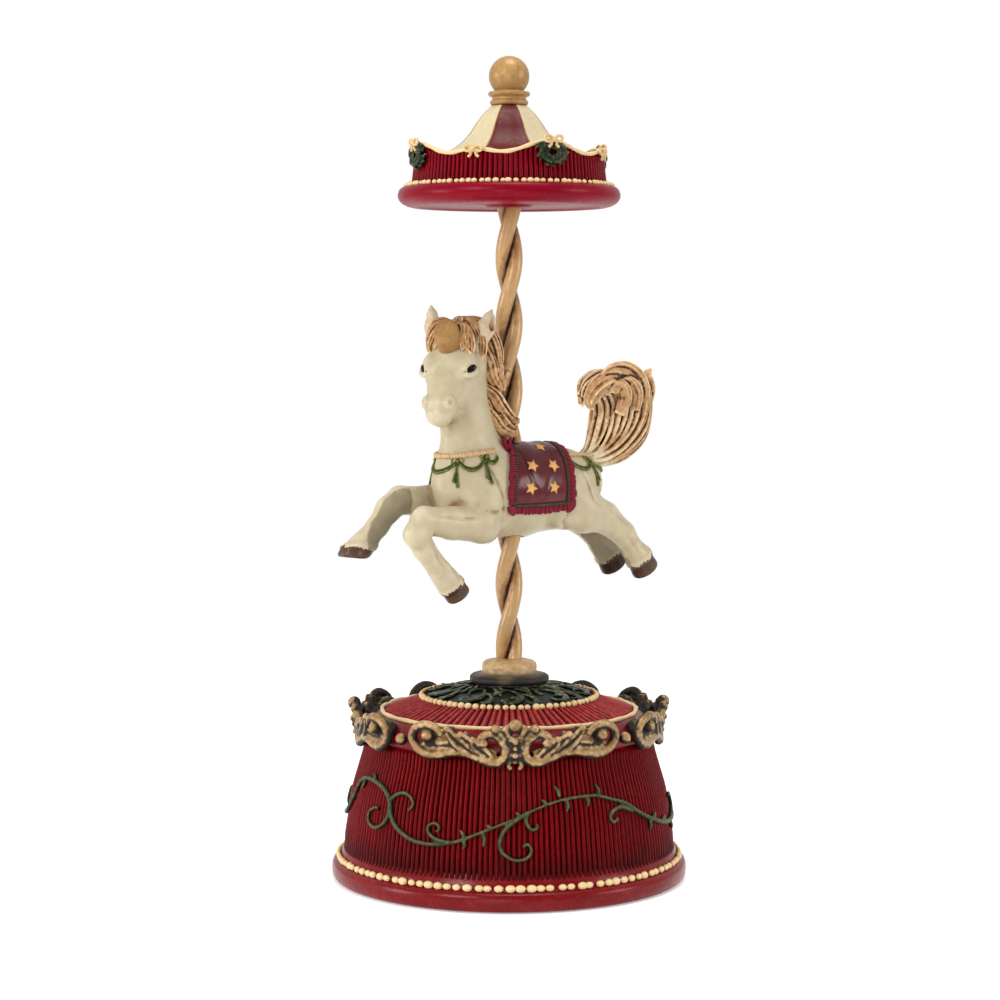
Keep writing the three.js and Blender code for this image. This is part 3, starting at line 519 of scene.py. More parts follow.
def makeDrumShell():
    wall = [(wallRadius(z) - 0.85, z) for z in (10, 14, 19, 24, 28.6, 33, 36)]
    outline = ([(41, 0), (44.5, 0), (45.3, 0.25), (45.8, 0.9), (46, 2.1), (45.98, 3.4), (45.7, 4.3), (45.1, 4.75), (44.5, 4.9),
                (43.9, 5.3), (43.6, 6.2), (43.35, 7.0), (42.7, 7.8), (42.3, 8.7)] + wall
               + [(36.9, 37.2), (37.3, 38.2), (37.25, 39.2), (36.7, 40.2), (35.7, 41.2), (34.6, 42.1), (33.6, 42.8), (32.9, 42.9),
                  (32.2, 42.7), (27, 44.5), (23, 45.9), (22.2, 46.5), (20.5, 47.1), (17, 48.0), (13, 48.8), (10.2, 49.25),
                  (6, 49.35), (3.2, 49.35), (3.2, 46.2), (12, 46), (20, 44.2), (31.2, 40.3), (34.2, 37), (34.9, 33),
                  (36.3, 28), (37.6, 22), (37.9, 15.3), (40.1, 15.3), (41, 12.8)])
    return revolved("drumShell", outline, 220)


def ribElement(name, count, line, depth, side=6, power=2.2):
    # one rounded rib as a closed stave; line is rows of radius, height and the outward direction in radius and height
    half = pi / count
    across = np.linspace(-1, 1, side + 1)
    verts, hollow = [], []
    for r, z, nr, nz in line:
        for t in across:
            drop = depth * abs(t) ** power
            rr, zz = r - drop * nr, z - drop * nz
            verts.append((rr * cos(t * half), rr * sin(t * half), zz))
            # the hollow value grows towards the stave's edges and is full on its sides: antique wash and painted shade
            # in the grooves between ribs
            hollow.append(0.15 + 0.85 * abs(t) ** 1.6)
        for t in (1, -1):
            rr, zz = r - (depth + 0.4) * nr, z - (depth + 0.4) * nz
            verts.append((rr * cos(t * half), rr * sin(t * half), zz))
            hollow.append(1.0)
    n = side + 3
    faces = gridFaces(len(line), n, False, True) + [tuple(range(n)), tuple(range((len(line) - 1) * n, len(line) * n))[::-1]]
    return meshFrom(name, verts, faces, {"hollow": hollow})


def wallRows(zs, radius, pinch):
    rows = []
    for z in zs:
        slope = (radius(z + 0.5) - radius(z - 0.5))
        size = hypot(1, slope)
        rows.append((radius(z) - pinch(z), z, 1 / size, -slope / size))
    return rows


def makeRibs():
    ends = lambda z: 0.5 * max(0, 1 - (z - drum["ribFoot"]) / 0.8) ** 2
    zs = np.concatenate([np.linspace(drum["ribFoot"], 10.2, 6), np.linspace(11.5, drum["ribTop"], 18)])
    element = ribElement("rib", drum["ribs"], wallRows(zs, wallRadius, ends), drum["ribDepth"])
    return ringOf("drumRibs", element, drum["ribs"], drumRed, turnJitter=0.06, seed=3)


def makeFlutes():
    rows = []
    for t in np.linspace(0, 1, 9):
        r, z = 32.3 + (22.6 - 32.3) * t, 43.35 + (46.75 - 43.35) * t
        rows.append((r, z, 0.33, 0.94))
    element = ribElement("flute", drum["flutes"], rows, 0.5, 6, 2.0)
    return ringOf("topFlutes", element, drum["flutes"], topRed, turnJitter=0.1, seed=5)


def beadMesh(radius, stretch=(1, 1, 1)):
    bm = bmesh.new()
    bmesh.ops.create_icosphere(bm, subdivisions=2, radius=radius * mm)
    for v in bm.verts:
        v.co = Vector([c * s for c, s in zip(v.co, stretch)])
    mesh = bpy.data.meshes.new("bead")
    bm.to_mesh(mesh)
    bm.free()
    # darker on the side facing the ring's centre and lighter on the outer side: painted shade and painted highlight, as
    # if lit from outside
    inward = np.array([0.45 - 0.5 * v.co.x / (radius * stretch[0] * mm) for v in mesh.vertices], np.float32)
    mesh.attributes.new("hollow", "FLOAT", "POINT").data.foreach_set("value", np.clip(inward, 0, 1))
    mesh.shade_smooth()
    return mesh


def ringCord(name, radius, height, thick, material, wave=0.12, samples=220):
    turn = np.linspace(0, 2 * pi, samples + 1)
    wobbleR = wave * np.sin(turn * 17) + 0.6 * wave * np.sin(turn * 41 + 1)
    line = np.stack([(radius + wobbleR) * np.cos(turn), (radius + wobbleR) * np.sin(turn), height + 0.4 * wobbleR,
                     thick * (1 + 0.12 * np.sin(turn * 23 + 2))], 1)
    return line


drumShell = makeDrumShell()
finish(drumShell, "base", flangeRed, ["base_shell"])
finish(makeRibs(), "base", None)
finish(makeFlutes(), "base", None)
finish(ringOf("footBeads", beadMesh(drum["beadRadius"], (0.95, 1.42, 1.05)), drum["beads"], goldBead, radius=44.15, height=5.75,
              turnJitter=0.16, sizeJitter=0.13, seed=11), "base", None)
finish(ringOf("topBeads", beadMesh(0.85, (0.95, 1.08, 0.95)), drum["topBeads"], goldBead, radius=22.6, height=46.95,
              turnJitter=0.14, sizeJitter=0.12, seed=12), "base", None)
finish(strands("topRing", [ringCord("topRing", 32.95, 43.25, 0.55, None)], goldBead, 10), "base", None)
print("drum shell, ribs and beads are made")


# The canopy

canopy = {"ribs": 121, "beads": 96, "crestTurn": radians(-65.6), "wreathHigh": 1.9}


def canopyWall(z):
    return np.interp(z, [178.3, 179, 182, 185.4], [25.05, 24.95, 24.6, 24.35])


def crestTop(angle):
    # high over the wreaths, a low rise at the bows between them
    a = 4 * (angle - canopy["crestTurn"])
    return 186.3 + 1.05 * np.cos(a) + 0.75 * np.cos(2 * a) - 0.1 * np.cos(3 * a)


def makeCanopyShell():
    outline = [(23.9, 172.6), (25.0, 172.6), (26.2, 172.9), (27.4, 173.5), (28.15, 174.3), (28.5, 175.1), (28.5, 176.0),
               (28.15, 177.0), (27.5, 177.6), (26.8, 177.8), (26.0, 178.0), (25.0, 178.2), (24.4, 178.5), (24.1, 180), (23.9, 185.0),
               (23.4, 185.2), (23.3, 183.5), (0, 183.5), (0, 176), (3.9, 176), (3.9, 172.5), (5.6, 172.5), (6.1, 172.9),
               (6.3, 173.2), (22.6, 173.1), (23.3, 172.9), (23.6, 172.65)]
    return revolved("canopyShell", outline, 180)


def makeCanopyRibs():
    rows = wallRows(np.linspace(178.2, 185.9, 9), canopyWall, lambda z: 0.0)
    element = ribElement("canopyRib", canopy["ribs"], rows, 0.45)
    ribs = ringOf("canopyRibs", element, canopy["ribs"], canopyRed, turnJitter=0.05, seed=21)
    for v in ribs.data.vertices:  # the ribs end under the crest's wave
        if v.co.z > 0.184:
            v.co.z += (float(crestTop(atan2(v.co.y, v.co.x))) - 0.35 - 185.9) * mm * (v.co.z - 0.184) / 0.0019
    return ribs


def makeCrest():
    turn = np.linspace(0, 2 * pi, 361)
    line = np.stack([24.35 * np.cos(turn), 24.35 * np.sin(turn), crestTop(turn), 0.5 + 0.06 * np.sin(turn * 31)], 1)
    return strands("canopyCrest", [line], goldBead, 8)


roofLine = np.array([(23.6, 183.9), (23.4, 184.5), (22.2, 184.85), (21, 185), (17.5, 186), (14.3, 187.6), (11.9, 189.6),
                     (10.2, 191.6), (8.8, 193.7), (7.2, 195.8), (6.3, 196.8), (4.65, 198.4)])


def makeRoof():
    line = curveThrough(roofLine, 4)
    sides = 192
    segment = 2 * pi / 8
    turn = np.arange(sides) * 2 * pi / sides
    local = ((turn + pi / 2 + segment / 2) % segment) / segment - 0.5  # 0 at the middle of a stripe
    verts, stripe = [], []
    for k, a in enumerate(turn):
        flat = 1 - 0.075 * (1 - np.cos(2 * pi * local[k])) / 2 * -1 - 0.06
        for r, z in line:
            depth = flat if r < 22 else 1.0 - (1.0 - flat) * max(0, (23.6 - r) / 1.6)
            verts.append((r * depth * cos(a), r * depth * sin(a), z))
            stripe.append(local[k])
    body = np.array(verts).reshape(sides, len(line), 3)
    foot = np.repeat(np.array([[[0, 0, 183.9]]]), sides, 0)
    top = np.repeat(np.array([[[0, 0, 198.5]]]), sides, 0)
    grid = np.concatenate([foot, body, top], 1)
    faces = gridFaces(sides, grid.shape[1], True, True)
    return objectFrom("canopyRoof", meshFrom("canopyRoof", grid.reshape(-1, 3), faces, merge=0.002))


def roofMaterial():
    made = paintMaterial("roofStripes", rgb(140, 30, 34), rgb(60, 24, 20), rgb(222, 206, 168), hollow=False,
                         **{"Mottle": 0.12, "Smooth": 0.3, "Rough": 0.5}, bump=0.03, shine=0.15)
    tree = made.node_tree
    aged = next(n for n in tree.nodes if n.type == "GROUP")
    place = nodeIn(tree, "ShaderNodeTexCoord").outputs["Object"]
    apart = nodeIn(tree, "ShaderNodeSeparateXYZ")
    tree.links.new(place, apart.inputs[0])
    angle = mathIn(tree, "ARCTAN2", apart.outputs["Y"], apart.outputs["X"])
    share = mathIn(tree, "DIVIDE", mathIn(tree, "ADD", angle, pi / 2), pi / 2)  # a red and a cream stripe a turn
    wave = mathIn(tree, "PINGPONG", share, 0.5)  # 0 at a red middle, 0.5 at a cream middle
    edge = nodeIn(tree, "ShaderNodeValToRGB")
    tree.links.new(wave, edge.inputs["Fac"])
    stops = edge.color_ramp
    stops.interpolation = "LINEAR"
    red, cream, gold = rgb(88, 14, 16), rgb(196, 181, 146), rgb(140, 102, 58)
    spots = [(0.0, red), (0.236, red), (0.244, gold), (0.256, gold), (0.264, cream), (1.0, cream)]
    for k, (at, colour) in enumerate(spots):
        stop = stops.elements[k] if k < 2 else stops.elements.new(at)
        stop.position, stop.color = at, colour
    for k, (at, colour) in enumerate(spots):
        stops.elements[k].position, stops.elements[k].color = at, colour
    tree.links.new(edge.outputs["Color"], aged.inputs["Paint"])
    return made


def makeFinial():
    balls = [(5.17 * cos(a), 205.9 + 5.17 * sin(a)) for a in np.linspace(-0.86, pi / 2, 22)]
    balls[-1] = (0, 211.07)
    outline = [(0, 198.6), (4.5, 198.6), (4.85, 198.9), (4.9, 199.5), (4.5, 199.9), (4.3, 200.3), (4.5, 200.7), (5.15, 200.9),
               (5.4, 201.4), (5.2, 201.9), (4.6, 202.05), (3.6, 202.1)] + balls[1:]
    return revolved("finialBall", outline, 96)


finish(makeCanopyShell(), "carousel", rimRed, ["canopy_drum"])
finish(makeCanopyRibs(), "carousel", None)
finish(makeCrest(), "carousel", None, ["canopy_crest"])
finish(ringOf("canopyBeads", beadMesh(0.62, (0.9, 1.3, 1)), canopy["beads"], goldBead, radius=26.5, height=178.15,
              turnJitter=0.2, sizeJitter=0.14, seed=22), "carousel", None)
finish(makeRoof(), "carousel", roofMaterial(), ["canopy_roof"])
finish(makeFinial(), "carousel", goldBall, ["finial"])
print("canopy is made")


# The twisted pole and its foot

pole = {"pitch": 33.6, "strand": 1.95, "offset": 1.55, "narrowAt": 151.4, "sides": 20}


def makePole(name, low, high):
    lines = []
    for turn in (0, pi):
        z = np.linspace(low, high, int((high - low) / 0.55))
        a = pi / 2 + (z - pole["narrowAt"]) / pole["pitch"] * 2 * pi + turn
        lines.append(np.stack([pole["offset"] * np.cos(a), pole["offset"] * np.sin(a), z, np.full(len(z), pole["strand"])], 1))
    thing = strands(name, lines, goldPole, pole["sides"])
    count = len(thing.data.vertices)
    co = np.zeros(count * 3, np.float32)
    thing.data.vertices.foreach_get("co", co)
    r = np.hypot(*(co.reshape(-1, 3)[:, :2].T)) / mm
    # darker towards the pole's axis: painted shade in the deep groove between the two strands
    value = np.clip(1.15 - (r - 0.9) / 2.0, 0, 1)
    thing.data.attributes.new("hollow", "FLOAT", "POINT").data.foreach_set("value", value.astype(np.float32))
    return thing


def makePoleFoot():
    outline = [(0, 56.5), (0, 55.6), (1.8, 55.6), (1.8, 50.3), (9.4, 50.3), (10.0, 50.55), (10.3, 51.1), (10.25, 51.8),
               (9.7, 52.3), (8.6, 52.6), (7.5, 52.75), (7.0, 53.2), (7.15, 54.2), (7.0, 55.2), (6.3, 55.8), (5.0, 56.2), (3.6, 56.4)]
    shape = lambda a, r, z: (0.12 * np.sin(5 * a + 1) * (r > 6), 0.06 * np.sin(3 * a) * (r > 6))
    return revolved("poleFoot", outline, 96, shape)


footGold = paintMaterial("footGold", rgb(186, 152, 104), rgb(24, 17, 13), rgb(232, 208, 168), hollow=False, grimeHeights=(51.9, 54.4, 1.0),
                         **{"Mottle": 0.75, "Grain Scale": 620.0, "Smooth": 0.3, "Rough": 0.6}, bump=0.14, metallic=0.1, shine=0.4)
finish(makePole("lowerPole", 56.0, 93.6), "carousel", None, ["lower_pole"])
finish(makePole("upperPole", 104.4, 175.6), "carousel", None, ["upper_pole"])
finish(makePoleFoot(), "carousel", footGold, ["pole_foot"])
print("pole is made")

# Relief on the drum: gilt scrolls round the shoulder, a green vine on the wall, leaves round the pole foot

def roundDrum(flat, lean=0.12, turn=0.0):
    # rows of distance along the wall, height, how far it stands out, radius, laid round the shoulder
    flat = np.asarray(flat, float)
    around = np.arcsin(np.clip(flat[:, 0] / 39.4, -1, 1)) * 1.074 + turn
    out = 38.4 + lean * (flat[:, 1] - 35) + flat[:, 2]
    return np.stack([out * np.cos(around), out * np.sin(around), flat[:, 1], flat[:, 3]], 1)


scroll = {
    "tube": [(7.9, 40.6, 0, 0.9), (7.4, 42.0, 0.1, 1.0), (5.6, 42.9, 0.2, 1.0), (3.6, 41.9, 0.2, 1.0), (2.5, 39.6, 0.2, 0.95), (2.5, 37.4, 0.3, 1.0),
             (3.9, 35.9, 0.4, 1.1), (6, 35.9, 0.4, 1.15), (8.6, 36.9, 0.3, 1.0), (11.4, 37.8, 0.3, 0.85), (14.2, 37.9, 0.4, 0.9),
             (17.0, 37.3, 0.6, 1.0), (19.6, 37.1, 0.8, 1.1), (22.0, 38.3, 0.8, 1.1), (23.2, 40.7, 0.8, 1.05), (22.4, 43.2, 0.9, 1.05),
             (20.0, 44.6, 1.1, 1.0), (17.6, 44.0, 1.1, 0.9), (16.4, 42.2, 0.9, 0.8)],
    "stalk": [[(4.6, 37.2), (7.2, 38.2), (10.2, 39.0), (13.4, 39.2), (16.4, 38.7), (19.4, 38.6), (21.2, 39.8)],
              [(9.8, 39.4), (12.8, 40.2), (15.6, 40.4), (18.0, 40.0)]],
    "lobes": [[(6.2, 37.6), (8.6, 39.2), (10.6, 40.9), (12.2, 42.6)],
              [(8.8, 38.0), (11.8, 39.4), (13.8, 41.6), (15.2, 44.0)],
              [(5.6, 36.8), (7.4, 38.6), (8.9, 40.2), (9.6, 41.4)]],
    "palm": [[(0, 35.6, 0.7), (0, 38, 0.8), (0, 40.2, 0.9), (0, 42.4, 1.3)], [(0.7, 36.6, 0.7), (2.0, 40.2, 0.8), (2.9, 42.2, 1.0), (4.2, 43.9, 1.15)],
             [(0.4, 38.6, 0.6), (1.2, 41.4, 0.9), (2.0, 43.9, 1.1), (2.6, 44.8, 1.0)], [(1.1, 36.2, 0.6), (1.5, 34.9, 0.6), (0.8, 34.1, 0.55)]]}


def makeScrollRing():
    lines, balls = [], []
    for s in (1, -1):
        mirror = lambda rows: [(s * x, *rest) for x, *rest in rows]
        tube = curveThrough(mirror(scroll["tube"]), 4)
        tube[:, 3] *= 1.18
        lines.append(roundDrum(tube))
        for row in scroll["stalk"]:  # ribs running along the stalk into the big volute
            lines.append(roundDrum(curveThrough([(s * x, z, 0.35, 0.5) for x, z in row], 4)))
            lines.append(roundDrum(curveThrough([(s * x, z - 0.2, -0.9, 1.6) for x, z in row], 3)))
        for lobe in scroll["lobes"]:  # each lobe is a dark hollow leaf between two raised edges that meet at its tip
            t = np.linspace(0.15, 1, len(lobe))
            for side in (-1, 0, 1):
                spread = 0.95 * np.sin(pi * np.minimum(t, 0.94)) ** 0.7 * side
                rows = [(s * (x - 0.8 * w), z + 0.6 * w, (0.6 if side else -0.7) + 0.4 * b, (0.5 if side else 1.2) + 0.12 * b)
                        for (x, z), w, b in zip(lobe, spread, t)]
                lines.append(roundDrum(curveThrough(rows, 4)))
            tipX, tipZ = lobe[-1]
            balls.append(roundDrum([(s * tipX, tipZ, 0.85, 0.95)])[0])
        for row in scroll["palm"]:
            lines.append(roundDrum(curveThrough([(s * x, z, 0.3, r) for x, z, r in row], 4)))
        balls += list(roundDrum([(s * 19.5, 41.9, 1.2, 1.75), (s * 7.2, 40.6, 0.3, 1.35), (s * 4.4, 44.2, 0.5, 1.3)]))
        balls += list(roundDrum([(s * 19.6, 40.9, -1.9, 3.0), (s * 16.6, 40.6, -1.6, 1.9), (s * 13.2, 40.0, -1.5, 1.7)]))
        balls.append(roundDrum([(0.0, 40.0, 0.3, 1.6)], turn=s * pi / 4)[0])
    balls += list(roundDrum([(0, 45.0, 0.5, 1.8), (0, 41.0, 1.4, 0.8), (0, 37.6, 1.1, 0.85), (0, 39.4, 1.3, 0.65)]))
    things = [strands("scrolls", lines, goldRelief, 9)]
    things += [ball("scrollBall", b[:3], b[3], level=2) for b in balls]
    unit = fused(joined("scrollUnit", things), 0.3, 1, 7, 1.35)
    unitMesh = unit.data
    # painted shade on faces turned from the light, painted highlight on faces turned to it
    shadeByFacing(unitMesh, 0.5, 0.72, up=0.42)
    bpy.data.objects.remove(unit)
    return ringOf("scrollRing", unitMesh, 4, goldRelief, start=radians(-88))


vine = {
    "stem": [(-72, 24.7), (-70, 26.8), (-65, 28.1), (-58, 28.1), (-51, 26.8), (-46.6, 24.3), (-45, 21), (-41, 18), (-35, 16), (-29, 15.4),
             (-23, 15.7), (-17, 16.8), (-11, 18.6), (-5, 20.4), (2, 22.4), (7, 24), (13, 25.5), (19, 26.5), (25, 26.9), (32, 26.8),
             (38, 25.6), (45, 23.9), (50, 21.6), (57, 19.1), (66, 17), (76, 16), (90, 16.4), (100, 18.5), (106, 22), (108, 24.7)],
    "curls": [[(-46.6, 24.3), (-44, 26), (-40.4, 26.8), (-37, 26), (-35.6, 24.4), (-37, 23)],
              [(-46.2, 23.2), (-46.5, 20.2), (-49, 18.2), (-53, 17.1), (-57, 18.2), (-57.4, 20.5), (-54, 22), (-52, 21.9)],
              [(-20.4, 16.2), (-25, 16.7), (-28, 18.1), (-28.3, 19.8), (-26, 20.6), (-24.3, 19.7), (-25, 18.5)],
              [(6.6, 23.9), (1.6, 21.8), (-2, 19.3), (-3.3, 16.4), (-2.2, 14.2), (1.6, 12.5), (5.5, 12.9), (7.2, 14.7), (6, 16.3), (4.4, 15.6)],
              [(5.8, 23.5), (5.7, 21.5), (7.3, 19.8), (9.3, 20.1), (9.1, 21.2)],
              [(47.7, 21.8), (42, 23.3), (38, 22.5), (36.8, 21.1), (38, 20), (40, 20.6)],
              [(76, 16), (83, 17.5), (86, 20), (84, 22), (81, 21.4)]],
    "leaves": [((17.7, 27.2), (16, 30)), ((20.2, 26.4), (19.8, 23.6)), ((33.3, 26.8), (32.3, 29.6)), ((28, 26.8), (27.7, 24.3)),
               ((-15.5, 17.2), (-17, 19.6)), ((-9, 18.9), (-8.9, 15.6)), ((-15.5, 17), (-15.8, 14.7)), ((-6.4, 19.8), (-8.2, 21)),
               ((3, 22.7), (2, 24)), ((12.6, 25.3), (11, 26.9)), ((56.8, 19.1), (56.4, 15.8)), ((59, 18.5), (61.3, 20.2)),
               ((66.3, 17), (70.4, 18.3)), ((77.6, 15.7), (78.8, 13.4)), ((-66, 28), (-67, 25.2)), ((-58, 28), (-60, 30))],
    "thick": 0.56, "lift": 0.3}


def onWall(rows, lift, thick):
    rows = np.asarray(rows, float)
    a = np.radians(rows[:, 0] - 90)
    r = wallRadius(rows[:, 1]) + lift
    return np.stack([r * np.cos(a), r * np.sin(a), rows[:, 1], np.broadcast_to(thick, a.shape)], 1)


def makeVine():
    lines = []
    for half in (0, 180):
        shift = lambda rows: [(a + half, z) for a, z in rows]
        stem = curveThrough(shift(vine["stem"]), 7)
        lines.append(onWall(stem, vine["lift"], vine["thick"] + 0.16 * np.sin(np.linspace(0, 9, len(stem)))))
        for curl in vine["curls"]:
            line = curveThrough(shift(curl), 7)
            t = np.linspace(0, 1, len(line))
            lines.append(onWall(line, vine["lift"] + 0.1, vine["thick"] * (1.15 - 0.45 * t + 0.5 * (t > 0.97))))
        for start, end in vine["leaves"]:
            t = np.linspace(0, 1, 6)
            bend = 0.6 * np.sin(pi * t)
            rows = [(half + start[0] + (end[0] - start[0]) * u + b, start[1] + (end[1] - start[1]) * u) for u, b in zip(t, bend)]
            lines.append(onWall(rows, vine["lift"] + 0.15 * t, 0.42 + 0.28 * np.sin(pi * t) - 0.26 * t))
    piece = fused(strands("vine", lines, vineGreen, 8), 0.24, 1, 5, 2.6)
    # painted shade on faces turned from the light, painted highlight on faces turned to it
    shadeByFacing(piece.data, 0.8, 0.8, up=0.35)
    return piece


medallion = {"units": 9, "low": 7.4, "high": 21.7}


def topHeight(r):
    return np.interp(r, [6, 10.2, 13, 17, 20.5, 22.2], [49.35, 49.25, 48.8, 48.0, 47.1, 46.5])


def makeMedallionGround():
    rim = np.linspace(medallion["high"], medallion["low"], 12)
    outline = [(r, topHeight(r) + 0.12) for r in rim] + [(r, topHeight(r) - 0.3) for r in rim[::-1]]
    return revolved("medallionGround", outline, 144, lambda a, r, z: (0 * r + 0 * a, 0.07 * np.sin(23 * a + r) * np.sin(1.1 * r)))


def makeMedallionLeaves():
    curves = [([(9.4, -12), (11.6, -5), (14.2, 1), (17.2, 2), (19.8, -3), (20.4, -9), (18.6, -12), (17.2, -9)], 0.72),
              ([(12.4, -3), (14.6, 6), (17.4, 11), (20, 11), (20.6, 7), (19.2, 5)], 0.6), ([(9.2, 0), (11.2, 8), (13.4, 12), (14.8, 9)], 0.62),
              ([(10.6, -7), (11.4, -14), (13.6, -17), (15.2, -14)], 0.55), ([(15.2, 2), (17.2, -3), (16.8, -6)], 0.5),
              ([(9.0, 5), (10, 12), (11.6, 16)], 0.6)]
    lines = []
    for rows, thick in curves:
        rows = curveThrough(rows, 6)
        t = np.linspace(0, 1, len(rows))
        a = np.radians(rows[:, 1])
        for side in (-0.35, 0.35):
            r = rows[:, 0] + side * 0.8
            lines.append(np.stack([r * np.cos(1.1 * a), r * np.sin(1.1 * a) + side * 0.8, topHeight(r) + 0.1 + 0.4 * np.sin(pi * t),
                                   thick * (0.42 + 0.42 * np.sin(pi * t))], 1))
    leaf = fused(strands("medallionLeaf", lines, leafGreen, 7), 0.27, 1, 6, 2.4)
    mesh = leaf.data
    # tops lighter and sides darker: painted highlight and painted shade from light above
    shadeByFacing(mesh, 0.5, 0.85, up=1.0)
    bpy.data.objects.remove(leaf)
    return ringOf("medallionLeaves", mesh, medallion["units"], leafGreen, turnJitter=0.08, sizeJitter=0.0, seed=8)


finish(makeScrollRing(), "base", None)
finish(makeVine(), "base", None)
finish(makeMedallionGround(), "base", leafShade)
finish(makeMedallionLeaves(), "base", None)
print("scrolls, vine and medallion are made")


# Wreaths and bows on the canopy

def onCanopy(rows, wide=24.9):
    # rows of sideways, height, how far it stands out, radius
    rows = np.asarray(rows, float)
    a, r = rows[:, 0] / wide, wide + rows[:, 2]
    return np.stack([r * np.cos(a), r * np.sin(a), rows[:, 1], rows[:, 3]], 1)


def bowLines(centre, size, thick, lift):
    x, z = centre
    lines = []
    for s in (1, -1):
        loop = [(0, 0), (0.9, 0.75), (1.9, 0.8), (2.3, 0.1), (1.7, -0.6), (0.8, -0.35), (0, 0)]
        lines.append(onCanopy(curveThrough([(x + s * a * size, z + b * size, lift + 0.5, thick) for a, b in loop], 4)))
        tail = [(0, 0), (0.5, -0.7), (0.8, -1.5), (1.4, -2.0)]
        lines.append(onCanopy(curveThrough([(x + s * a * size, z + b * size, lift + 0.45, thick * 1.1) for a, b in tail], 4)))
    lines.append(onCanopy([(x - 0.3, z, lift + 0.6, thick * 1.3), (x, z, lift + 0.75, thick * 1.8), (x + 0.3, z, lift + 0.6, thick * 1.3)]))
    return lines


def makeWreaths():
    draw, lines = np.random.default_rng(51), []
    t = np.linspace(0, 2 * pi, 33)
    lines.append(onCanopy(np.stack([2.1 * np.cos(t), 185.1 + 1.6 * np.sin(t), 0.2 + 0 * t, 1.15 + 0 * t], 1)))
    for k in range(13):
        a = 2 * pi * k / 13 + draw.uniform(-0.12, 0.12)
        for reach, lean, rise in ((1.9, 0.55, 0.3), (-1.6, 0.75, 0.7), (0.9, 1.0, 1.0)):
            u = np.linspace(0, 1, 6)
            size = draw.uniform(0.85, 1.15)
            ring = 1 + reach * size * u / 2.5
            x, z = 2.5 * ring * np.cos(a + lean * u), 185.1 + 2.0 * ring * np.sin(a + lean * u)
            stand = 0.35 + rise * np.sin(pi * (0.1 + 0.6 * u)) + draw.uniform(-0.15, 0.15)
            lines.append(onCanopy(np.stack([x, z, stand, 0.3 + 0.34 * np.sin(pi * u) ** 0.8 - 0.12 * u], 1)))
    wreath = fused(strands("wreath", lines, leafGreen, 6), 0.2, 0, 5, 3.4)
    mesh = wreath.data
    # painted shade on faces turned from the light, painted highlight on faces turned to it
    shadeByFacing(mesh, 0.3, 0.75, up=0.3)
    bpy.data.objects.remove(wreath)
    return ringOf("wreaths", mesh, 4, leafGreen, start=canopy["crestTurn"])


def makeBows(name, height, size, thick, start, lift=0.0):
    bow = fused(strands(name + "Unit", bowLines((0, height), size, thick, lift), goldBead, 7), 0.2, 1, 5, 3.0)
    mesh = bow.data
    bpy.data.objects.remove(bow)
    return ringOf(name, mesh, 4, goldBead, start=start)


finish(makeWreaths(), "carousel", None)
finish(makeBows("wreathBows", 188.3, 1.0, 0.4, canopy["crestTurn"], 1.1), "carousel", None)
finish(makeBows("crestBows", 186.0, 1.0, 0.4, canopy["crestTurn"] + pi / 4), "carousel", None)
print("wreaths and bows are made")


# The horse, in its own frame: x forward, y to its left, z up, before it turns to its heading

horse = {"heading": radians(220), "voxel": 0.36, "low": (-50, -13, 70.5), "high": (53, 14, 150.5), "socket": 3.62,
         "headAt": (18.4, 0.2, 138.9), "headTurn": radians(28), "headPitch": radians(57)}

torsoLine = [(18.4, 0, 103, 2.4, 3.8), (16.6, 0, 102.4, 5.4, 7.4), (12.6, 0, 101, 7.6, 10.6), (7, 0, 100, 9, 11.5), (-2, 0, 99.6, 9.3, 11.6),
             (-11, 0, 100.3, 9, 10.8), (-17.5, 0, 100.7, 9.0, 9.6), (-22.6, 0, 101, 7.0, 7.6), (-25.6, 0, 101.8, 3, 3.8)]
neckLine = [(11.8, 0, 103, 6.6, 9.4), (12.6, 0, 110, 5.6, 8.8), (13.8, 0, 118, 4.9, 7.6), (15.0, 0, 127, 4.5, 6.6),
            (16, 0, 134, 4.6, 6), (16, 0, 137, 4.2, 4.4)]
muscles = [(13, 5.2, 97.5, 6, 4.4, 7.5), (-16.5, 5.0, 98, 7, 4.2, 8), (15.6, 3.2, 102.6, 3.6, 3.2, 5), (-13, 4, 94, 5, 3.4, 3.6)]
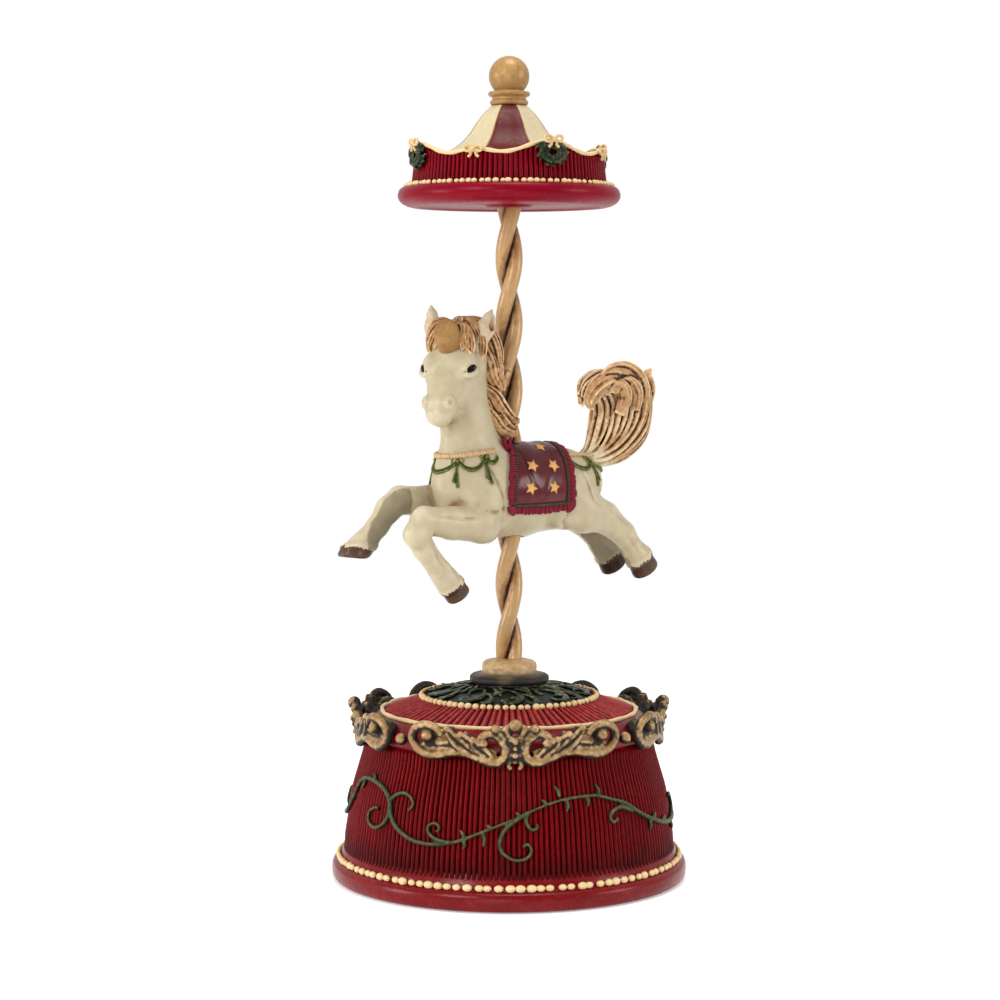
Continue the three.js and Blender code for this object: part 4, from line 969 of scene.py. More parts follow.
legs = {
    "frontLeftLeg": {"line": [(11, 6.0, 97, 3.4, 5), (14.6, 6.6, 92.6, 4, 5), (24, 6.3, 93.1, 3.4, 4.1), (32.6, 6, 94.2, 3.1, 3.5),
                              (35, 6, 90.8, 3.0, 3.3), (32.6, 6, 87, 2.5, 2.8), (27.4, 6, 81, 2.6, 2.9), (25.6, 6, 79, 3.0, 3.1),
                              (23.6, 6, 77, 2.9, 3.0), (20.6, 6, 73.4, 3.5, 3.6)],
                     "crown": (24.3, 78.0), "toward": (-0.62, -0.78), "sole": 4.4, "node": "front_left_leg"},
    "frontRightLeg": {"line": [(12, -5.8, 98, 3.4, 5), (21.8, -6.3, 97.6, 3.6, 4.2), (31, -6, 98.6, 3, 3.5), (34.6, -6, 96.4, 3, 3.3),
                               (38, -6, 92.4, 2.5, 2.8), (41.6, -6, 89.0, 2.7, 2.9), (43.4, -6, 87.4, 3, 3.2), (46.2, -6, 85, 3.3, 3.4),
                               (48.2, -6, 83.6, 2.8, 2.4)],
                      "crown": (43, 88.0), "toward": (0.12, -0.99), "sole": 3.5, "node": "front_right_leg"},
    "hindLeftLeg": {"line": [(-14, 6.2, 97, 3.6, 7.4), (-20, 6.6, 94.4, 4, 6), (-27.6, 6.4, 92.0, 3.3, 4.2), (-34.4, 6.2, 87.4, 2.8, 3.3),
                             (-38, 6, 83, 2.7, 3.1), (-40, 6, 81.2, 3.2, 3.4), (-43, 6, 77, 3.7, 3.9)],
                    "crown": (-40.2, 81.2), "toward": (-0.6, -0.8), "sole": 5.0, "node": "hind_left_leg"}}
legs["hindRightLeg"] = {**legs["hindLeftLeg"], "node": "hind_right_leg", "crown": (-39.8, 81.4),
                        "line": [(x + 0.6, -y, z + 0.4, a, b) for x, y, z, a, b in legs["hindLeftLeg"]["line"]]}


ears = ((1, (-2.8, 2.8, 9.0)), (-1, (1.3, -1.0, 10.2)))
eye = {"along": 8.5, "side": 6.15, "out": -0.5}


def unit(v):
    v = np.asarray(v, float)
    return v / np.linalg.norm(v)


turn, pitch = horse["headTurn"], horse["headPitch"]
faceDown = np.array([cos(pitch) * cos(turn), cos(pitch) * sin(turn), -sin(pitch)])
faceOut = np.array([sin(pitch) * cos(turn), sin(pitch) * sin(turn), cos(pitch)])
faceSide = np.array([-sin(turn), cos(turn), 0])


def inHead(along, side, out):
    return np.array(horse["headAt"]) + along * faceDown + side * faceSide + out * faceOut


def headRow(along, side, out, wide, deep):
    return (*inHead(along, side, out), wide, deep)


def fromHorse(points):
    # turns points of the horse's frame to the object's
    p = np.asarray(points, float)
    c, s = cos(horse["heading"]), sin(horse["heading"])
    return np.concatenate([np.stack([p[..., 0] * c - p[..., 1] * s, p[..., 0] * s + p[..., 1] * c, p[..., 2]], -1), p[..., 3:]], -1)


# Rounded volumes as distances, joined softly on one grid

def softUnion(a, b, k):
    share = np.clip(0.5 + 0.5 * (b - a) / k, 0, 1)
    return b + (a - b) * share - k * share * (1 - share)


def softCut(a, b, k):
    return -softUnion(-a, b, k)


def tubeDistance(points, line, side=(0, 1, 0), blend=1.2):
    # a run of oval sections, rows of x, y, z, half width, half depth
    side, total = unit(side), None
    for a, b in zip(np.asarray(line[:-1], float), np.asarray(line[1:], float)):
        along = b[:3] - a[:3]
        t = np.clip(((points - a[:3]) @ along) / (along @ along), 0, 1)
        off = points - (a[:3] + t[..., None] * along)
        wide, deep = a[3] + t * (b[3] - a[3]), a[4] + t * (b[4] - a[4])
        across = off @ side
        rest = np.maximum((off ** 2).sum(-1) - across ** 2, 0)
        q = np.sqrt((across / wide) ** 2 + rest / deep ** 2) + 1e-6
        d = q * (q - 1) / (np.sqrt((across / wide ** 2) ** 2 + rest / deep ** 4) + 1e-6)
        total = d if total is None else softUnion(total, d, blend)
    return total


def ovalDistance(points, centre, radii, axes=None):
    off = points - np.asarray(centre, float)
    if axes is not None:
        off = off @ np.stack(axes, 1)
    radii = np.asarray(radii, float)
    q = np.sqrt(((off / radii) ** 2).sum(-1)) + 1e-6
    return q * (q - 1) / (np.sqrt(((off / radii ** 2) ** 2).sum(-1)) + 1e-6)


class Clay:
    # a grid of distances that can be added to, carved and turned to a surface
    def __init__(self, low, high, step):
        self.low, self.step = np.asarray(low, float), step
        self.shape = np.ceil((np.asarray(high) - self.low) / step).astype(int)
        self.values = np.full(self.shape, 9.0)

    def window(self, low, high):
        a = np.clip(np.floor((np.asarray(low) - self.low) / self.step).astype(int), 0, self.shape)
        b = np.clip(np.ceil((np.asarray(high) - self.low) / self.step).astype(int), 0, self.shape)
        axes = [self.low[k] + self.step * np.arange(a[k], b[k]) for k in range(3)]
        return tuple(slice(*s) for s in zip(a, b)), np.stack(np.meshgrid(*axes, indexing="ij"), -1)

    def around(self, line, pad=5.0):
        rows = np.asarray(line, float)
        reach = rows[:, 3:].max(1)[:, None] + pad
        return self.window((rows[:, :3] - reach).min(0), (rows[:, :3] + reach).max(0))

    def add(self, line, blend, side=(0, 1, 0), inner=1.2):
        where, points = self.around(line)
        self.values[where] = softUnion(self.values[where], tubeDistance(points, line, side, inner), blend)

    def addOval(self, centre, radii, blend, axes=None, carve=False):
        where, points = self.window(np.asarray(centre) - max(radii) - 4, np.asarray(centre) + max(radii) + 4)
        d = ovalDistance(points, centre, radii, axes)
        mix = softCut(self.values[where], d, blend) if carve else softUnion(self.values[where], d, blend)
        self.values[where] = mix

    def carve(self, line, blend):
        where, points = self.around(line, 3.0)
        self.values[where] = softCut(self.values[where], tubeDistance(points, line, (0, 1, 0), 0.2), blend)

    def sample(self, points, values=None):
        values = self.values if values is None else values
        g = (np.asarray(points, float) - self.low) / self.step
        i = np.clip(np.floor(g).astype(int), 0, np.array(values.shape) - 2)
        f, total = np.clip(g - i, 0, 1), 0.0
        for corner in np.ndindex(2, 2, 2):
            share = np.prod(np.where(corner, f, 1 - f), -1)
            total = total + share * values[tuple((i + corner)[..., k] for k in range(3))]
        return total

    def normals(self, points, h=0.45):
        grad = np.stack([self.sample(points + h * axis) - self.sample(points - h * axis) for axis in np.eye(3)], -1)
        return grad / (np.linalg.norm(grad, axis=-1, keepdims=True) + 1e-9)

    def softened(self, reach):
        # the same distances, averaged over a box this many cells each way, twice
        values = self.values.copy()
        for _ in range(2):
            for axis in range(3):
                padded = np.concatenate([values.take([0] * (reach + 1), axis), values, values.take([-1] * reach, axis)], axis)
                run = np.cumsum(padded, axis)
                n = values.shape[axis]
                values = (run.take(range(2 * reach + 1, 2 * reach + 1 + n), axis) - run.take(range(n), axis)) / (2 * reach + 1)
        return values

    def surface(self, values):
        # one vertex in each cell that the surface crosses, one face across each crossed edge
        inside = values < 0
        corners = list(np.ndindex(2, 2, 2))
        m = np.array(values.shape) - 1
        count = sum(inside[x:x + m[0], y:y + m[1], z:z + m[2]].astype(np.int8) for x, y, z in corners)
        active = (count > 0) & (count < 8)
        ids = np.full(m, -1)
        ids[active] = np.arange(active.sum())
        cell = np.argwhere(active)
        total, number = np.zeros((len(cell), 3)), np.zeros((len(cell), 1))
        for a in corners:
            for axis in range(3):
                if a[axis]:
                    continue
                b = tuple(c + (k == axis) for k, c in enumerate(a))
                va, vb = values[tuple((cell + a).T)], values[tuple((cell + b).T)]
                hit = (va < 0) != (vb < 0)
                t = va[hit] / (va[hit] - vb[hit])
                spot = np.repeat([a], hit.sum(), 0).astype(float)
                spot[:, axis] += t
                total[hit] += spot
                number[hit] += 1
        verts = self.low + self.step * (cell + total / number)
        faces = []
        for axis in range(3):
            ahead = tuple(slice(1, None) if k == axis else slice(None) for k in range(3))
            behind = tuple(slice(None, -1) if k == axis else slice(None) for k in range(3))
            spots = np.argwhere(inside[ahead] != inside[behind])
            p, q = np.eye(3, dtype=int)[(axis + 1) % 3], np.eye(3, dtype=int)[(axis + 2) % 3]
            quad = np.stack([ids[tuple((spots - o).T)] for o in (p * 0, p, p + q, q)], 1)
            flip = inside[behind][tuple(spots.T)]
            quad[~flip] = quad[~flip][:, ::-1]
            faces.append(quad)
        return verts, np.concatenate(faces)


# shallow creases scored along both flanks and the near legs: rows of x, z
creases = [[(15.4, 111), (12.6, 106), (10.4, 101), (9.4, 96.5), (10.0, 93)], [(9.4, 96.5), (12.4, 95.6), (16.0, 96.2)],
           [(-12.6, 94.4), (-11.4, 91.6), (-13.2, 89.4)], [(-17.6, 105), (-19.4, 101), (-20.6, 97.4), (-23.6, 95.2)],
           [(18.5, 94.4), (24.5, 94.8), (30.0, 95.6)], [(31.8, 88.6), (29.4, 84.4), (27.0, 80.9)],
           [(-26.6, 94.6), (-31.0, 91.6), (-34.8, 89.2)], [(-34.6, 85.8), (-37.2, 82.8)]]


def scoreCrease(clay, rows, side, thick=0.42):
    rows = curveThrough(rows, 5)
    reach = np.arange(14, 2, -0.15)
    x, z = rows[:, :1] + 0 * reach, rows[:, 1:2] + 0 * reach
    inside = clay.sample(np.stack([x, side * reach + 0 * x, z], -1)) < 0
    skin = side * (reach[inside.argmax(1)] + 0.12)
    fade = thick * np.sin(pi * np.linspace(0.12, 0.88, len(rows)))
    clay.carve([(a, v, b, r, r) for (a, b), v, r in zip(rows[:, :2], skin, fade)], 0.7)


def sculpt():
    clay = Clay(horse["low"], horse["high"], horse["voxel"])
    clay.add(torsoLine, 1.0, inner=2.0)
    clay.add(neckLine, 4.0, inner=1.6)
    for x, y, z, a, b, c in muscles:
        for s in (1, -1):
            clay.addOval((x, y * s, z), (a, b, c), 2.5)
    sculptHead(clay)
    clay.add([(-22, 0, 103.4, 4.2, 4.4), (-26.5, 0, 105.4, 3.0, 3.0), (-30.5, 0, 106.6, 2.2, 2.2)], 2.0)
    trunk, limbs = clay.values.copy(), {}
    for name, leg in legs.items():
        where, points = clay.around(leg["line"], 6.0)
        raw = tubeDistance(points, leg["line"], blend=1.0)
        (cx, cz), (tx, tz) = leg["crown"], leg["toward"]
        below = (points[..., 0] - cx) * tx + (points[..., 2] - cz) * tz
        raw = softUnion(raw, np.maximum(raw - 0.35, np.abs(below - 0.5) - 0.7), 0.4)
        raw = softCut(raw, leg["sole"] - below, 0.8)
        limbs[name] = (where, raw, below)
        clay.values[where] = softUnion(clay.values[where], raw, 1.5)
    for rows in creases:
        for side in (1, -1) if rows[0][0] < 18 and rows[0][0] > -26 else (1,):
            scoreCrease(clay, rows, side)
    for low, high in ((60, 93.0), (105.5, 128)):
        where, points = clay.window((-6, -6, low), (6, 6, high))
        off = np.hypot(points[..., 0], points[..., 1]) - horse["socket"]
        clay.values[where] = np.maximum(clay.values[where], -off)
    return clay, trunk, limbs


def eyeAxes(s):
    long = unit(0.75 * faceDown - 0.6 * s * faceSide + 0.3 * faceOut)
    out = unit(0.8 * s * faceSide + 0.6 * faceOut)
    return long, out, unit(np.cross(long, out)) * -s


def sculptHead(clay):
    row = headRow
    skull = [row(-2.2, 0, -4.8, 4.8, 4.2), row(1.5, 0, -4.8, 6.6, 5.2), row(5, 0, -4.7, 7.3, 5.3), row(8.5, -0.1, -4.6, 6.9, 5.0),
             row(12, -0.3, -4.1, 5.1, 4.5), row(15, -0.6, -3.8, 4.0, 3.9), row(17.6, -0.8, -3.7, 3.8, 3.5), row(19.8, -0.9, -4.0, 3.2, 2.9)]
    clay.add(skull, 3.0, faceSide, 1.4)
    axes = (faceDown, faceSide, faceOut)
    parts = [((5, -9.6), (5.4, 4.6, 4.4), 2.5), ((10, -8.2), (4.2, 3.4, 3.0), 2.0), ((19.8, -6.4), (2.0, 2.0, 1.4), 0.9),
             ((20.6, -2.8), (1.6, 2.6, 1.8), 1.0)]
    for (along, out), radii, blend in parts:
        clay.addOval(inHead(along, -0.9 if along > 15 else 0, out), radii, blend, axes)
    for s in (1, -1):
        clay.addOval(inHead(7.2, 5.0 * s, -0.5), (3.4, 2.2, 1.6), 1.8, axes)
        clay.addOval(inHead(17.6, 3.1 * s - 0.8, -1.6), (1.9, 1.35, 1.6), 0.7, axes)
        clay.addOval(inHead(eye["along"], (eye["side"] + 0.5) * s, eye["out"]), (1.9, 1.1, 1.25), 0.4, axes, carve=True)
        clay.addOval(inHead(17.9, 4.0 * s - 0.8, -0.6), (0.95, 0.75, 0.8), 0.15, axes, carve=True)
        centre = inHead(eye["along"], eye["side"] * s, eye["out"])
        long, out, across = eyeAxes(s)
        for high, thick, away in ((1.5, 0.3, 0.2), (-1.3, 0.22, 0.1)):  # upper and lower lids
            lid = [centre + a * long + high * (1 - (a / 2.3) ** 2) * across + (away - 0.09 * a * a) * out for a in np.linspace(-2.1, 2.1, 7)]
            clay.add([(*p, thick, thick) for p in lid], 0.3)
        clay.carve([(*(centre + a * long - 0.08 * a * across + 0.35 * out), 0.3, 0.3) for a in (1.7, 2.4, 3.2)], 0.2)
    lips = [inHead(along, side - 0.8, out) for along, side, out in [(17, 4.1, -5.3), (19.2, 3.6, -5.0), (21.2, 2.3, -4.6), (22, 0, -4.4),
                                                                    (21.2, -2.3, -4.6), (19.2, -3.6, -5.0), (17, -4.1, -5.3)]]
    clay.carve([(*p, 0.32, 0.32) for p in lips], 0.35)
    for s, lean in ears:
        foot = inHead(0.2, 5.3 * s, -2.4)
        middle, tip = foot + 0.5 * np.array(lean) + faceSide * 0.5 * s, foot + np.array(lean)
        clay.add([(*foot, 2.2, 2.2), (*middle, 2.5, 2.1), (*(middle + 0.55 * (tip - middle)), 1.5, 1.3), (*tip, 0.25, 0.25)], 1.0,
                 unit(np.cross(lean, faceOut + 0.6 * faceSide * s)), 0.7)
        scoop = unit(faceOut * 0.25 + faceSide * s * 0.95)
        clay.carve([(*(foot + 1.3 * scoop + 0.25 * np.array(lean)), 0.6, 0.6), (*(middle + 1.8 * scoop), 1.0, 1.0),
                    (*(middle + 0.7 * (tip - middle) + 1.0 * scoop), 0.35, 0.35)], 0.3)


def horseMesh(name, clay, values, softer, hoofAt=None):
    verts, faces = clay.surface(values)
    normal = clay.normals(verts)
    # creases darker and crests lighter in the coat paint: wash and wear, with painted shade in creases and painted
    # highlight on crests
    hollow = np.clip(0.5 - 1.15 * (clay.sample(verts, softer) - clay.sample(verts)), 0, 1)
    darkRecesses = [(inHead(eye["along"] + 0.4, eye["side"] * s, eye["out"]), 3.0, 0.34) for s in (1, -1)]
    darkRecesses += [(inHead(17.8, 3.9 * s - 0.8, -0.7), 2.0, 0.3) for s in (1, -1)] + [(inHead(21.5, -0.8, -4.5), 2.2, 0.16)]
    for place, reach, amount in darkRecesses:  # brown round the eyes, nostrils and lips: brown lining paint, and painted shade in these recesses
        hollow = np.clip(hollow + amount * np.clip(1 - np.linalg.norm(verts - place, axis=1) / reach, 0, 1), 0, 1)
    data = {"hollow": hollow, "hoof": hoofAt(verts) if hoofAt else np.full(len(verts), -9.0)}
    scoops = [inHead(0.2, 5.3 * s, -2.4) + np.array(lean) * 0.5 + unit(faceOut * 0.25 + faceSide * s * 0.95) * 1.5 for s, lean in ears]
    spots = [(p, 2.9) for p in scoops] + [(inHead(21.6, -0.8, -5.4), 1.2)]
    blush = sum(np.clip(1.25 - np.linalg.norm(verts - p, axis=1) / r, 0, 1) for p, r in spots)
    data["blush"] = np.clip(blush, 0, 1)
    mesh = meshFrom(name, fromHorse(verts), faces, data, recalc=False)
    mesh.normals_split_custom_set_from_vertices(fromHorse(normal).tolist())
    return objectFrom(name, mesh)


def makeHorse(clay, trunk, limbs):
    softer = clay.softened(3)
    body = clay.values.copy()
    for where, raw, _ in limbs.values():
        body[where] = np.maximum(body[where], trunk[where] - raw)
    pieces = {"horseBody": horseMesh("horseBody", clay, body, softer)}
    for name, (where, raw, below) in limbs.items():
        limb = np.full(clay.shape, 9.0)
        limb[where] = np.maximum(clay.values[where] + 0.03, raw - trunk[where] - 0.7)
        (cx, cz), (tx, tz) = legs[name]["crown"], legs[name]["toward"]
        line = lambda p: ((p[:, 0] - cx) * tx + (p[:, 2] - cz) * tz + 0.35 * np.sin(3.1 * p[:, 1] + 1.7 * p[:, 0])
                          + 0.2 * np.sin(6.3 * p[:, 1] - 4 * p[:, 0]))
        pieces[name] = horseMesh(name, clay, limb, softer, line)
    return pieces


def mixIn(tree, share, a, b):
    made = nodeIn(tree, "ShaderNodeMix", data_type="RGBA")
    for value, socket in ((share, made.inputs["Factor"]), (a, made.inputs[6]), (b, made.inputs[7])):
        if isinstance(value, (tuple, float)):
            socket.default_value = value
        else:
            tree.links.new(value, socket)
    return made.outputs[2]


def stepIn(tree, value, low, high, top=1.0):
    made = nodeIn(tree, "ShaderNodeMapRange", interpolation_type="SMOOTHSTEP")
    tree.links.new(value, made.inputs["Value"])
    made.inputs["From Min"].default_value, made.inputs["From Max"].default_value = low, high
    made.inputs["To Max"].default_value = top
    return made.outputs[0]


def coatMaterial():
    made = paintMaterial("creamCoat", rgb(176, 163, 132), rgb(128, 92, 50), rgb(208, 196, 168), **{
        "Wash From": 0.54, "Wash To": 0.84, "Wash Amount": 0.85, "Worn From": 0.4, "Worn To": 0.1, "Worn Amount": 0.4,
        "Mottle": 0.3, "Grain Scale": 420.0, "Smooth": 0.28, "Rough": 0.5}, bump=0.1, shine=0.3)
    tree = made.node_tree
    aged = next(n for n in tree.nodes if n.type == "GROUP")
    hoof = stepIn(tree, nodeIn(tree, "ShaderNodeAttribute", attribute_name="hoof").outputs["Fac"], 0.55, 0.85)
    blush = nodeIn(tree, "ShaderNodeAttribute", attribute_name="blush").outputs["Fac"]
    paint = mixIn(tree, stepIn(tree, blush, 0.1, 1.0, 0.75), rgb(176, 163, 132), rgb(172, 104, 78))
    tree.links.new(mixIn(tree, hoof, paint, rgb(66, 43, 28)), aged.inputs["Paint"])
    tree.links.new(mixIn(tree, hoof, rgb(128, 92, 50), rgb(38, 26, 20)), aged.inputs["Wash"])
    tree.links.new(mixIn(tree, hoof, rgb(208, 196, 168), rgb(96, 70, 52)), aged.inputs["Worn"])
    return made


clay, trunk, limbs = sculpt()
print("horse is sculpted")
creamCoat = coatMaterial()
for name, piece in makeHorse(clay, trunk, limbs).items():
    finish(piece, "carousel", creamCoat, [legs[name]["node"] if name in legs else "horse_body"])
print("horse body and legs are made")

# Hair: locks of tapered strands, fused to one skin, with brown paint and painted shade in its grooves

hairPaint = paintMaterial("hairPaint", rgb(166, 122, 78), rgb(42, 16, 4), rgb(236, 208, 170), **{
    "Wash From": 0.44, "Wash To": 0.68, "Wash Amount": 0.97, "Worn From": 0.4, "Worn To": 0.08, "Worn Amount": 0.85,
    "Mottle": 0.4, "Grain Scale": 800.0, "Smooth": 0.35, "Rough": 0.6}, bump=0.08)
tailPaint = hairPaint.copy()
tailPaint.name = "tailPaint"


def lock(points, count, spread, thick, seed, tip=0.25, across=None, curl=0.0):
    # strands side by side along one smooth line; rows of x, y, z
    line = curveThrough(points, 8)
    n = len(line)
    t = np.linspace(0, 1, n)
    along = np.gradient(line, axis=0)
    along /= np.linalg.norm(along, axis=1, keepdims=True) + 1e-9
    eye = unit(across) if across is not None else np.array([0.643, 0.766, 0.0])
    side = np.cross(along, eye)
    side /= np.linalg.norm(side, axis=1, keepdims=True) + 1e-9
    draw, made = np.random.default_rng(seed), []
    swell = np.sin(pi * np.clip(0.18 + 0.82 * t, 0, 1)) ** 0.7
    for k in range(count):
        at = 2 * (k + 0.5) / count - 1
        depth = 0.75 * (1 - at * at) + draw.uniform(-0.25, 0.25)
        wave = curl * np.sin(2 * pi * (1.2 * t + 0.13 * k)) * t
        offset = side * ((at * spread * swell + wave)[:, None]) + eye * (depth * spread * 0.5 * swell)[:, None]
        end = max(4, int(n * draw.uniform(0.88, 1.0)))
        width = thick * (0.55 + 0.45 * swell) * np.clip((1 - t * n / end) * 4 + tip, tip, 1) * draw.uniform(0.85, 1.15)
        made.append(np.concatenate([line + offset, width[:, None]], 1)[:end])
    return made


def makeMane():
    down, made = inHead, []
    locks = [
        ([(16.2, 1.0, 143), (13.0, 3.0, 142.4), (10.6, 4.4, 139.6), (9.0, 5.0, 135.6), (8.4, 5.0, 132.4), (7.8, 4.8, 130.2)], 8, 2.6, 0.4, 1),
        ([(12.8, 1.6, 140), (11.0, 3.6, 136.8), (9.6, 4.6, 133), (8.8, 4.8, 129.6), (7.0, 4.8, 127), (6.2, 4.4, 125.2)], 9, 2.6, 0.4, 2),
        ([(11.2, 3.0, 132.5), (8.8, 4.4, 130.4), (6.6, 5.0, 130.2), (5.0, 5.0, 131.2), (4.6, 4.6, 129.8)], 7, 1.7, 0.36, 3),
        ([(11.0, 2.6, 126.5), (8.8, 4.0, 124.4), (7.2, 4.6, 121.6), (4.8, 4.8, 119.0), (2.2, 4.8, 118.0), (0.4, 4.8, 119.0)], 9, 2.3, 0.4, 4),
        ([(10.2, 2.6, 123), (7.8, 4.2, 119.5), (5.4, 4.6, 116.6), (2.8, 4.8, 115.4), (0.8, 4.8, 115.8)], 8, 2.0, 0.38, 5),
        ([(14.5, -1.0, 142), (10.8, -1.6, 138.6), (9.2, -1.0, 131), (7.6, 0, 124), (5.6, 0.4, 117), (4.4, 0.4, 112.4)], 12, 3.4, 0.52, 6),
        ([(14.4, -2.6, 141.5), (11.2, -4.8, 136), (10.0, -5.4, 129), (8.8, -5.2, 122), (7.4, -4.8, 115)], 9, 2.8, 0.56, 7)]
    for points, count, spread, thick, seed in locks:
        made += lock(points, count, spread, thick, seed, across=(-0.2, -1, 0) if seed > 6 else None)
    fore = [
        ([down(-2.4, 0.5, 1.2), down(-1.8, 2.6, 3.2), down(0.8, 4.2, 2.8), down(3.4, 5.2, 0.9), down(4.8, 6.2, -0.6)], 8, 2.0, 0.34, 11),
        ([down(-2.4, -0.2, 1.2), down(-2.2, 2.4, 3.4), down(-0.6, 3.8, 3.6), down(2.6, 3.8, 2.2), down(4.4, 3.4, 1.2)], 6, 1.5, 0.32, 12),
        ([down(-2.4, -0.2, 1.2), down(-2.0, -3.0, 3.2), down(0.4, -4.8, 2.6), down(2.8, -5.6, 0.8), down(4.4, -5.4, -0.4)], 8, 1.9, 0.34, 13),
        ([down(-2.8, 0, 0), down(-3.6, 1.8, 2.2), down(-2.8, 4.4, 1.8), down(-0.4, 6.4, -0.6), down(2.6, 7.2, -2.8), down(5.0, 7.4, -4.4)],
         8, 2.0, 0.34, 14),
        ([down(-3.0, -1, 0), down(-3.4, -2.4, 2.4), down(-2.4, -4.0, 3.0), down(-0.6, -4.6, 3.0), down(1.2, -6.0, 1.4)], 7, 1.7, 0.32, 15),
        ([down(-3.0, 0, -0.5), down(-3.8, 0.6, 2.2), down(-2.8, 1.2, 4.0), down(-1.2, 1.0, 4.6)], 7, 1.9, 0.34, 16)]
    for points, count, spread, thick, seed in fore:
        made += lock(points, count, spread, thick, seed, across=faceOut, curl=0.55)
    piece = strands("mane", [fromHorse(line) for line in made], hairPaint, 7)
    return fused(piece, 0.18, 0, 7, 4.6)


tail = {"outer": [(-25.5, 105.4), (-31, 105.2), (-38, 106.6), (-45, 111.5), (-48, 118.5), (-48.6, 125), (-47.6, 129), (-49.6, 130.4)],
        "middle": [(-25.5, 107.0), (-30, 107.8), (-36, 110.6), (-41.4, 116), (-43.6, 122.5), (-40.6, 128.2), (-33, 130.6), (-26.2, 127.6),
                   (-24.6, 123.6)],
        "inner": [(-25.0, 108.4), (-27.2, 110), (-28.6, 113), (-29.6, 117), (-30.0, 121), (-28.6, 123.8), (-26.2, 122.8), (-25.0, 120.6)],
        "strands": 15, "layers": 4}


def makeTail():
    steps = 48
    resample = lambda key: (lambda line: np.stack([np.interp(np.linspace(0, 1, steps), np.linspace(0, 1, len(line)), line[:, k])
                                                   for k in range(2)], 1))(curveThrough([(x, z) for x, z in tail[key]], 8))
    outer, middle, inner = resample("outer"), resample("middle"), resample("inner")
    draw, made, t = np.random.default_rng(31), [], np.linspace(0, 1, steps)
    for layer in range(tail["layers"]):
        at = 2 * layer / (tail["layers"] - 1) - 1
        for k in range(tail["strands"]):
            share = (k + 0.5 * (layer % 2)) / (tail["strands"] - 0.5)
            path = middle + (outer - middle) * max(0, 1 - 2 * share) + (inner - middle) * max(0, 2 * share - 1)
            bulge = np.sin(pi * np.clip(0.1 + 0.9 * t, 0, 1)) ** 0.6
            y = at * 4.4 * bulge * sin(pi * (0.15 + 0.7 * share)) + draw.uniform(-0.45, 0.45)
            wander = 0.22 * np.sin(2 * pi * (1.7 * t + draw.uniform()))
            end = int(steps * draw.uniform(0.93, 1.0))
            width = 0.68 * (0.5 + 0.5 * bulge) * np.clip((1 - t * steps / end) * 6 + 0.35, 0.35, 1) * draw.uniform(0.8, 1.15)
            made.append(np.stack([path[:, 0] + wander, y, path[:, 1] + wander, width], 1)[:end])
    curls = [([(-38, 4.0, 126.5), (-32, 5.0, 128.6), (-27, 4.6, 126.5), (-24.6, 3.8, 122.6), (-26.6, 3.2, 119.6)], 7, 2.4, 0.52, 32),
             ([(-43.6, 3.2, 121), (-42, 4.6, 126.6), (-36.6, 5.6, 130.4), (-31, 5.2, 130.8), (-27.4, 4.6, 129)], 7, 2.4, 0.52, 33),
             ([(-47.6, 0.5, 120), (-48.6, 1.2, 125), (-47.4, 1.4, 129), (-50, 1.0, 131)], 5, 1.4, 0.5, 34),
             ([(-34, 5.0, 119), (-35.6, 5.6, 123.4), (-33.6, 5.8, 126.4), (-30, 5.4, 126), (-29, 5.0, 123)], 6, 1.8, 0.46, 35),
             ([(-40, 4.4, 120), (-39.6, 5.2, 124.6), (-36, 5.8, 127.6), (-32.4, 5.6, 127.4)], 6, 2.0, 0.48, 36)]
    for points, count, spread, thick, seed in curls:
        made += lock(points, count, spread, thick, seed, curl=0.2)
    piece = strands("tail", [fromHorse(line) for line in made], tailPaint, 7)
    return fused(piece, 0.27, 0, 7, 3.6)


def fadeTailRoot():
    # the dock is still coat cream where the hair begins
    tree = tailPaint.node_tree
    aged = next(n for n in tree.nodes if n.type == "GROUP")
    place = nodeIn(tree, "ShaderNodeTexCoord").outputs["Object"]
    apart = nodeIn(tree, "ShaderNodeSeparateXYZ")
    tree.links.new(place, apart.inputs[0])
    forward = mathIn(tree, "ADD", mathIn(tree, "MULTIPLY", apart.outputs["X"], cos(horse["heading"])),
                     mathIn(tree, "MULTIPLY", apart.outputs["Y"], sin(horse["heading"])))
    lean = mathIn(tree, "SUBTRACT", forward, mathIn(tree, "MULTIPLY", mathIn(tree, "SUBTRACT", apart.outputs["Z"], 0.106), 0.9))
    cream = stepIn(tree, lean, -0.0365, -0.0300)
    tree.links.new(mixIn(tree, cream, rgb(172, 130, 86), rgb(202, 188, 154)), aged.inputs["Paint"])
    tree.links.new(mixIn(tree, cream, rgb(48, 24, 12), rgb(128, 92, 50)), aged.inputs["Wash"])


def makeKnob():
    outline = [(0, -2.5), (3.25, -2.5), (3.25, 1.0), (3.15, 2.6), (2.95, 4.6), (2.75, 5.8), (2.45, 6.4), (1.9, 6.62), (0, 6.7)]
    outline = [(1.09 * r, z) for r, z in outline]
    verts = []
    sides = 48
    out, side = unit(faceOut + 0.05 * faceSide), faceSide
    up = np.cross(out, side)
    base = inHead(0.9, -0.2, 0.6)
    for k in range(sides):
        a = 2 * pi * k / sides
        for r, z in outline:
            ripple = 1 + (0.02 * sin(3 * a + z) + 0.012 * sin(7 * a - 2 * z)) * (r > 1)
            verts.append(base + z * out + r * ripple * (cos(a) * side + 1.14 * sin(a) * up) - 0.35 * faceDown * -1)
    faces = gridFaces(sides, len(outline), True, True)
    return objectFrom("foreheadKnob", meshFrom("foreheadKnob", fromHorse(np.array(verts)), faces, merge=0.004))


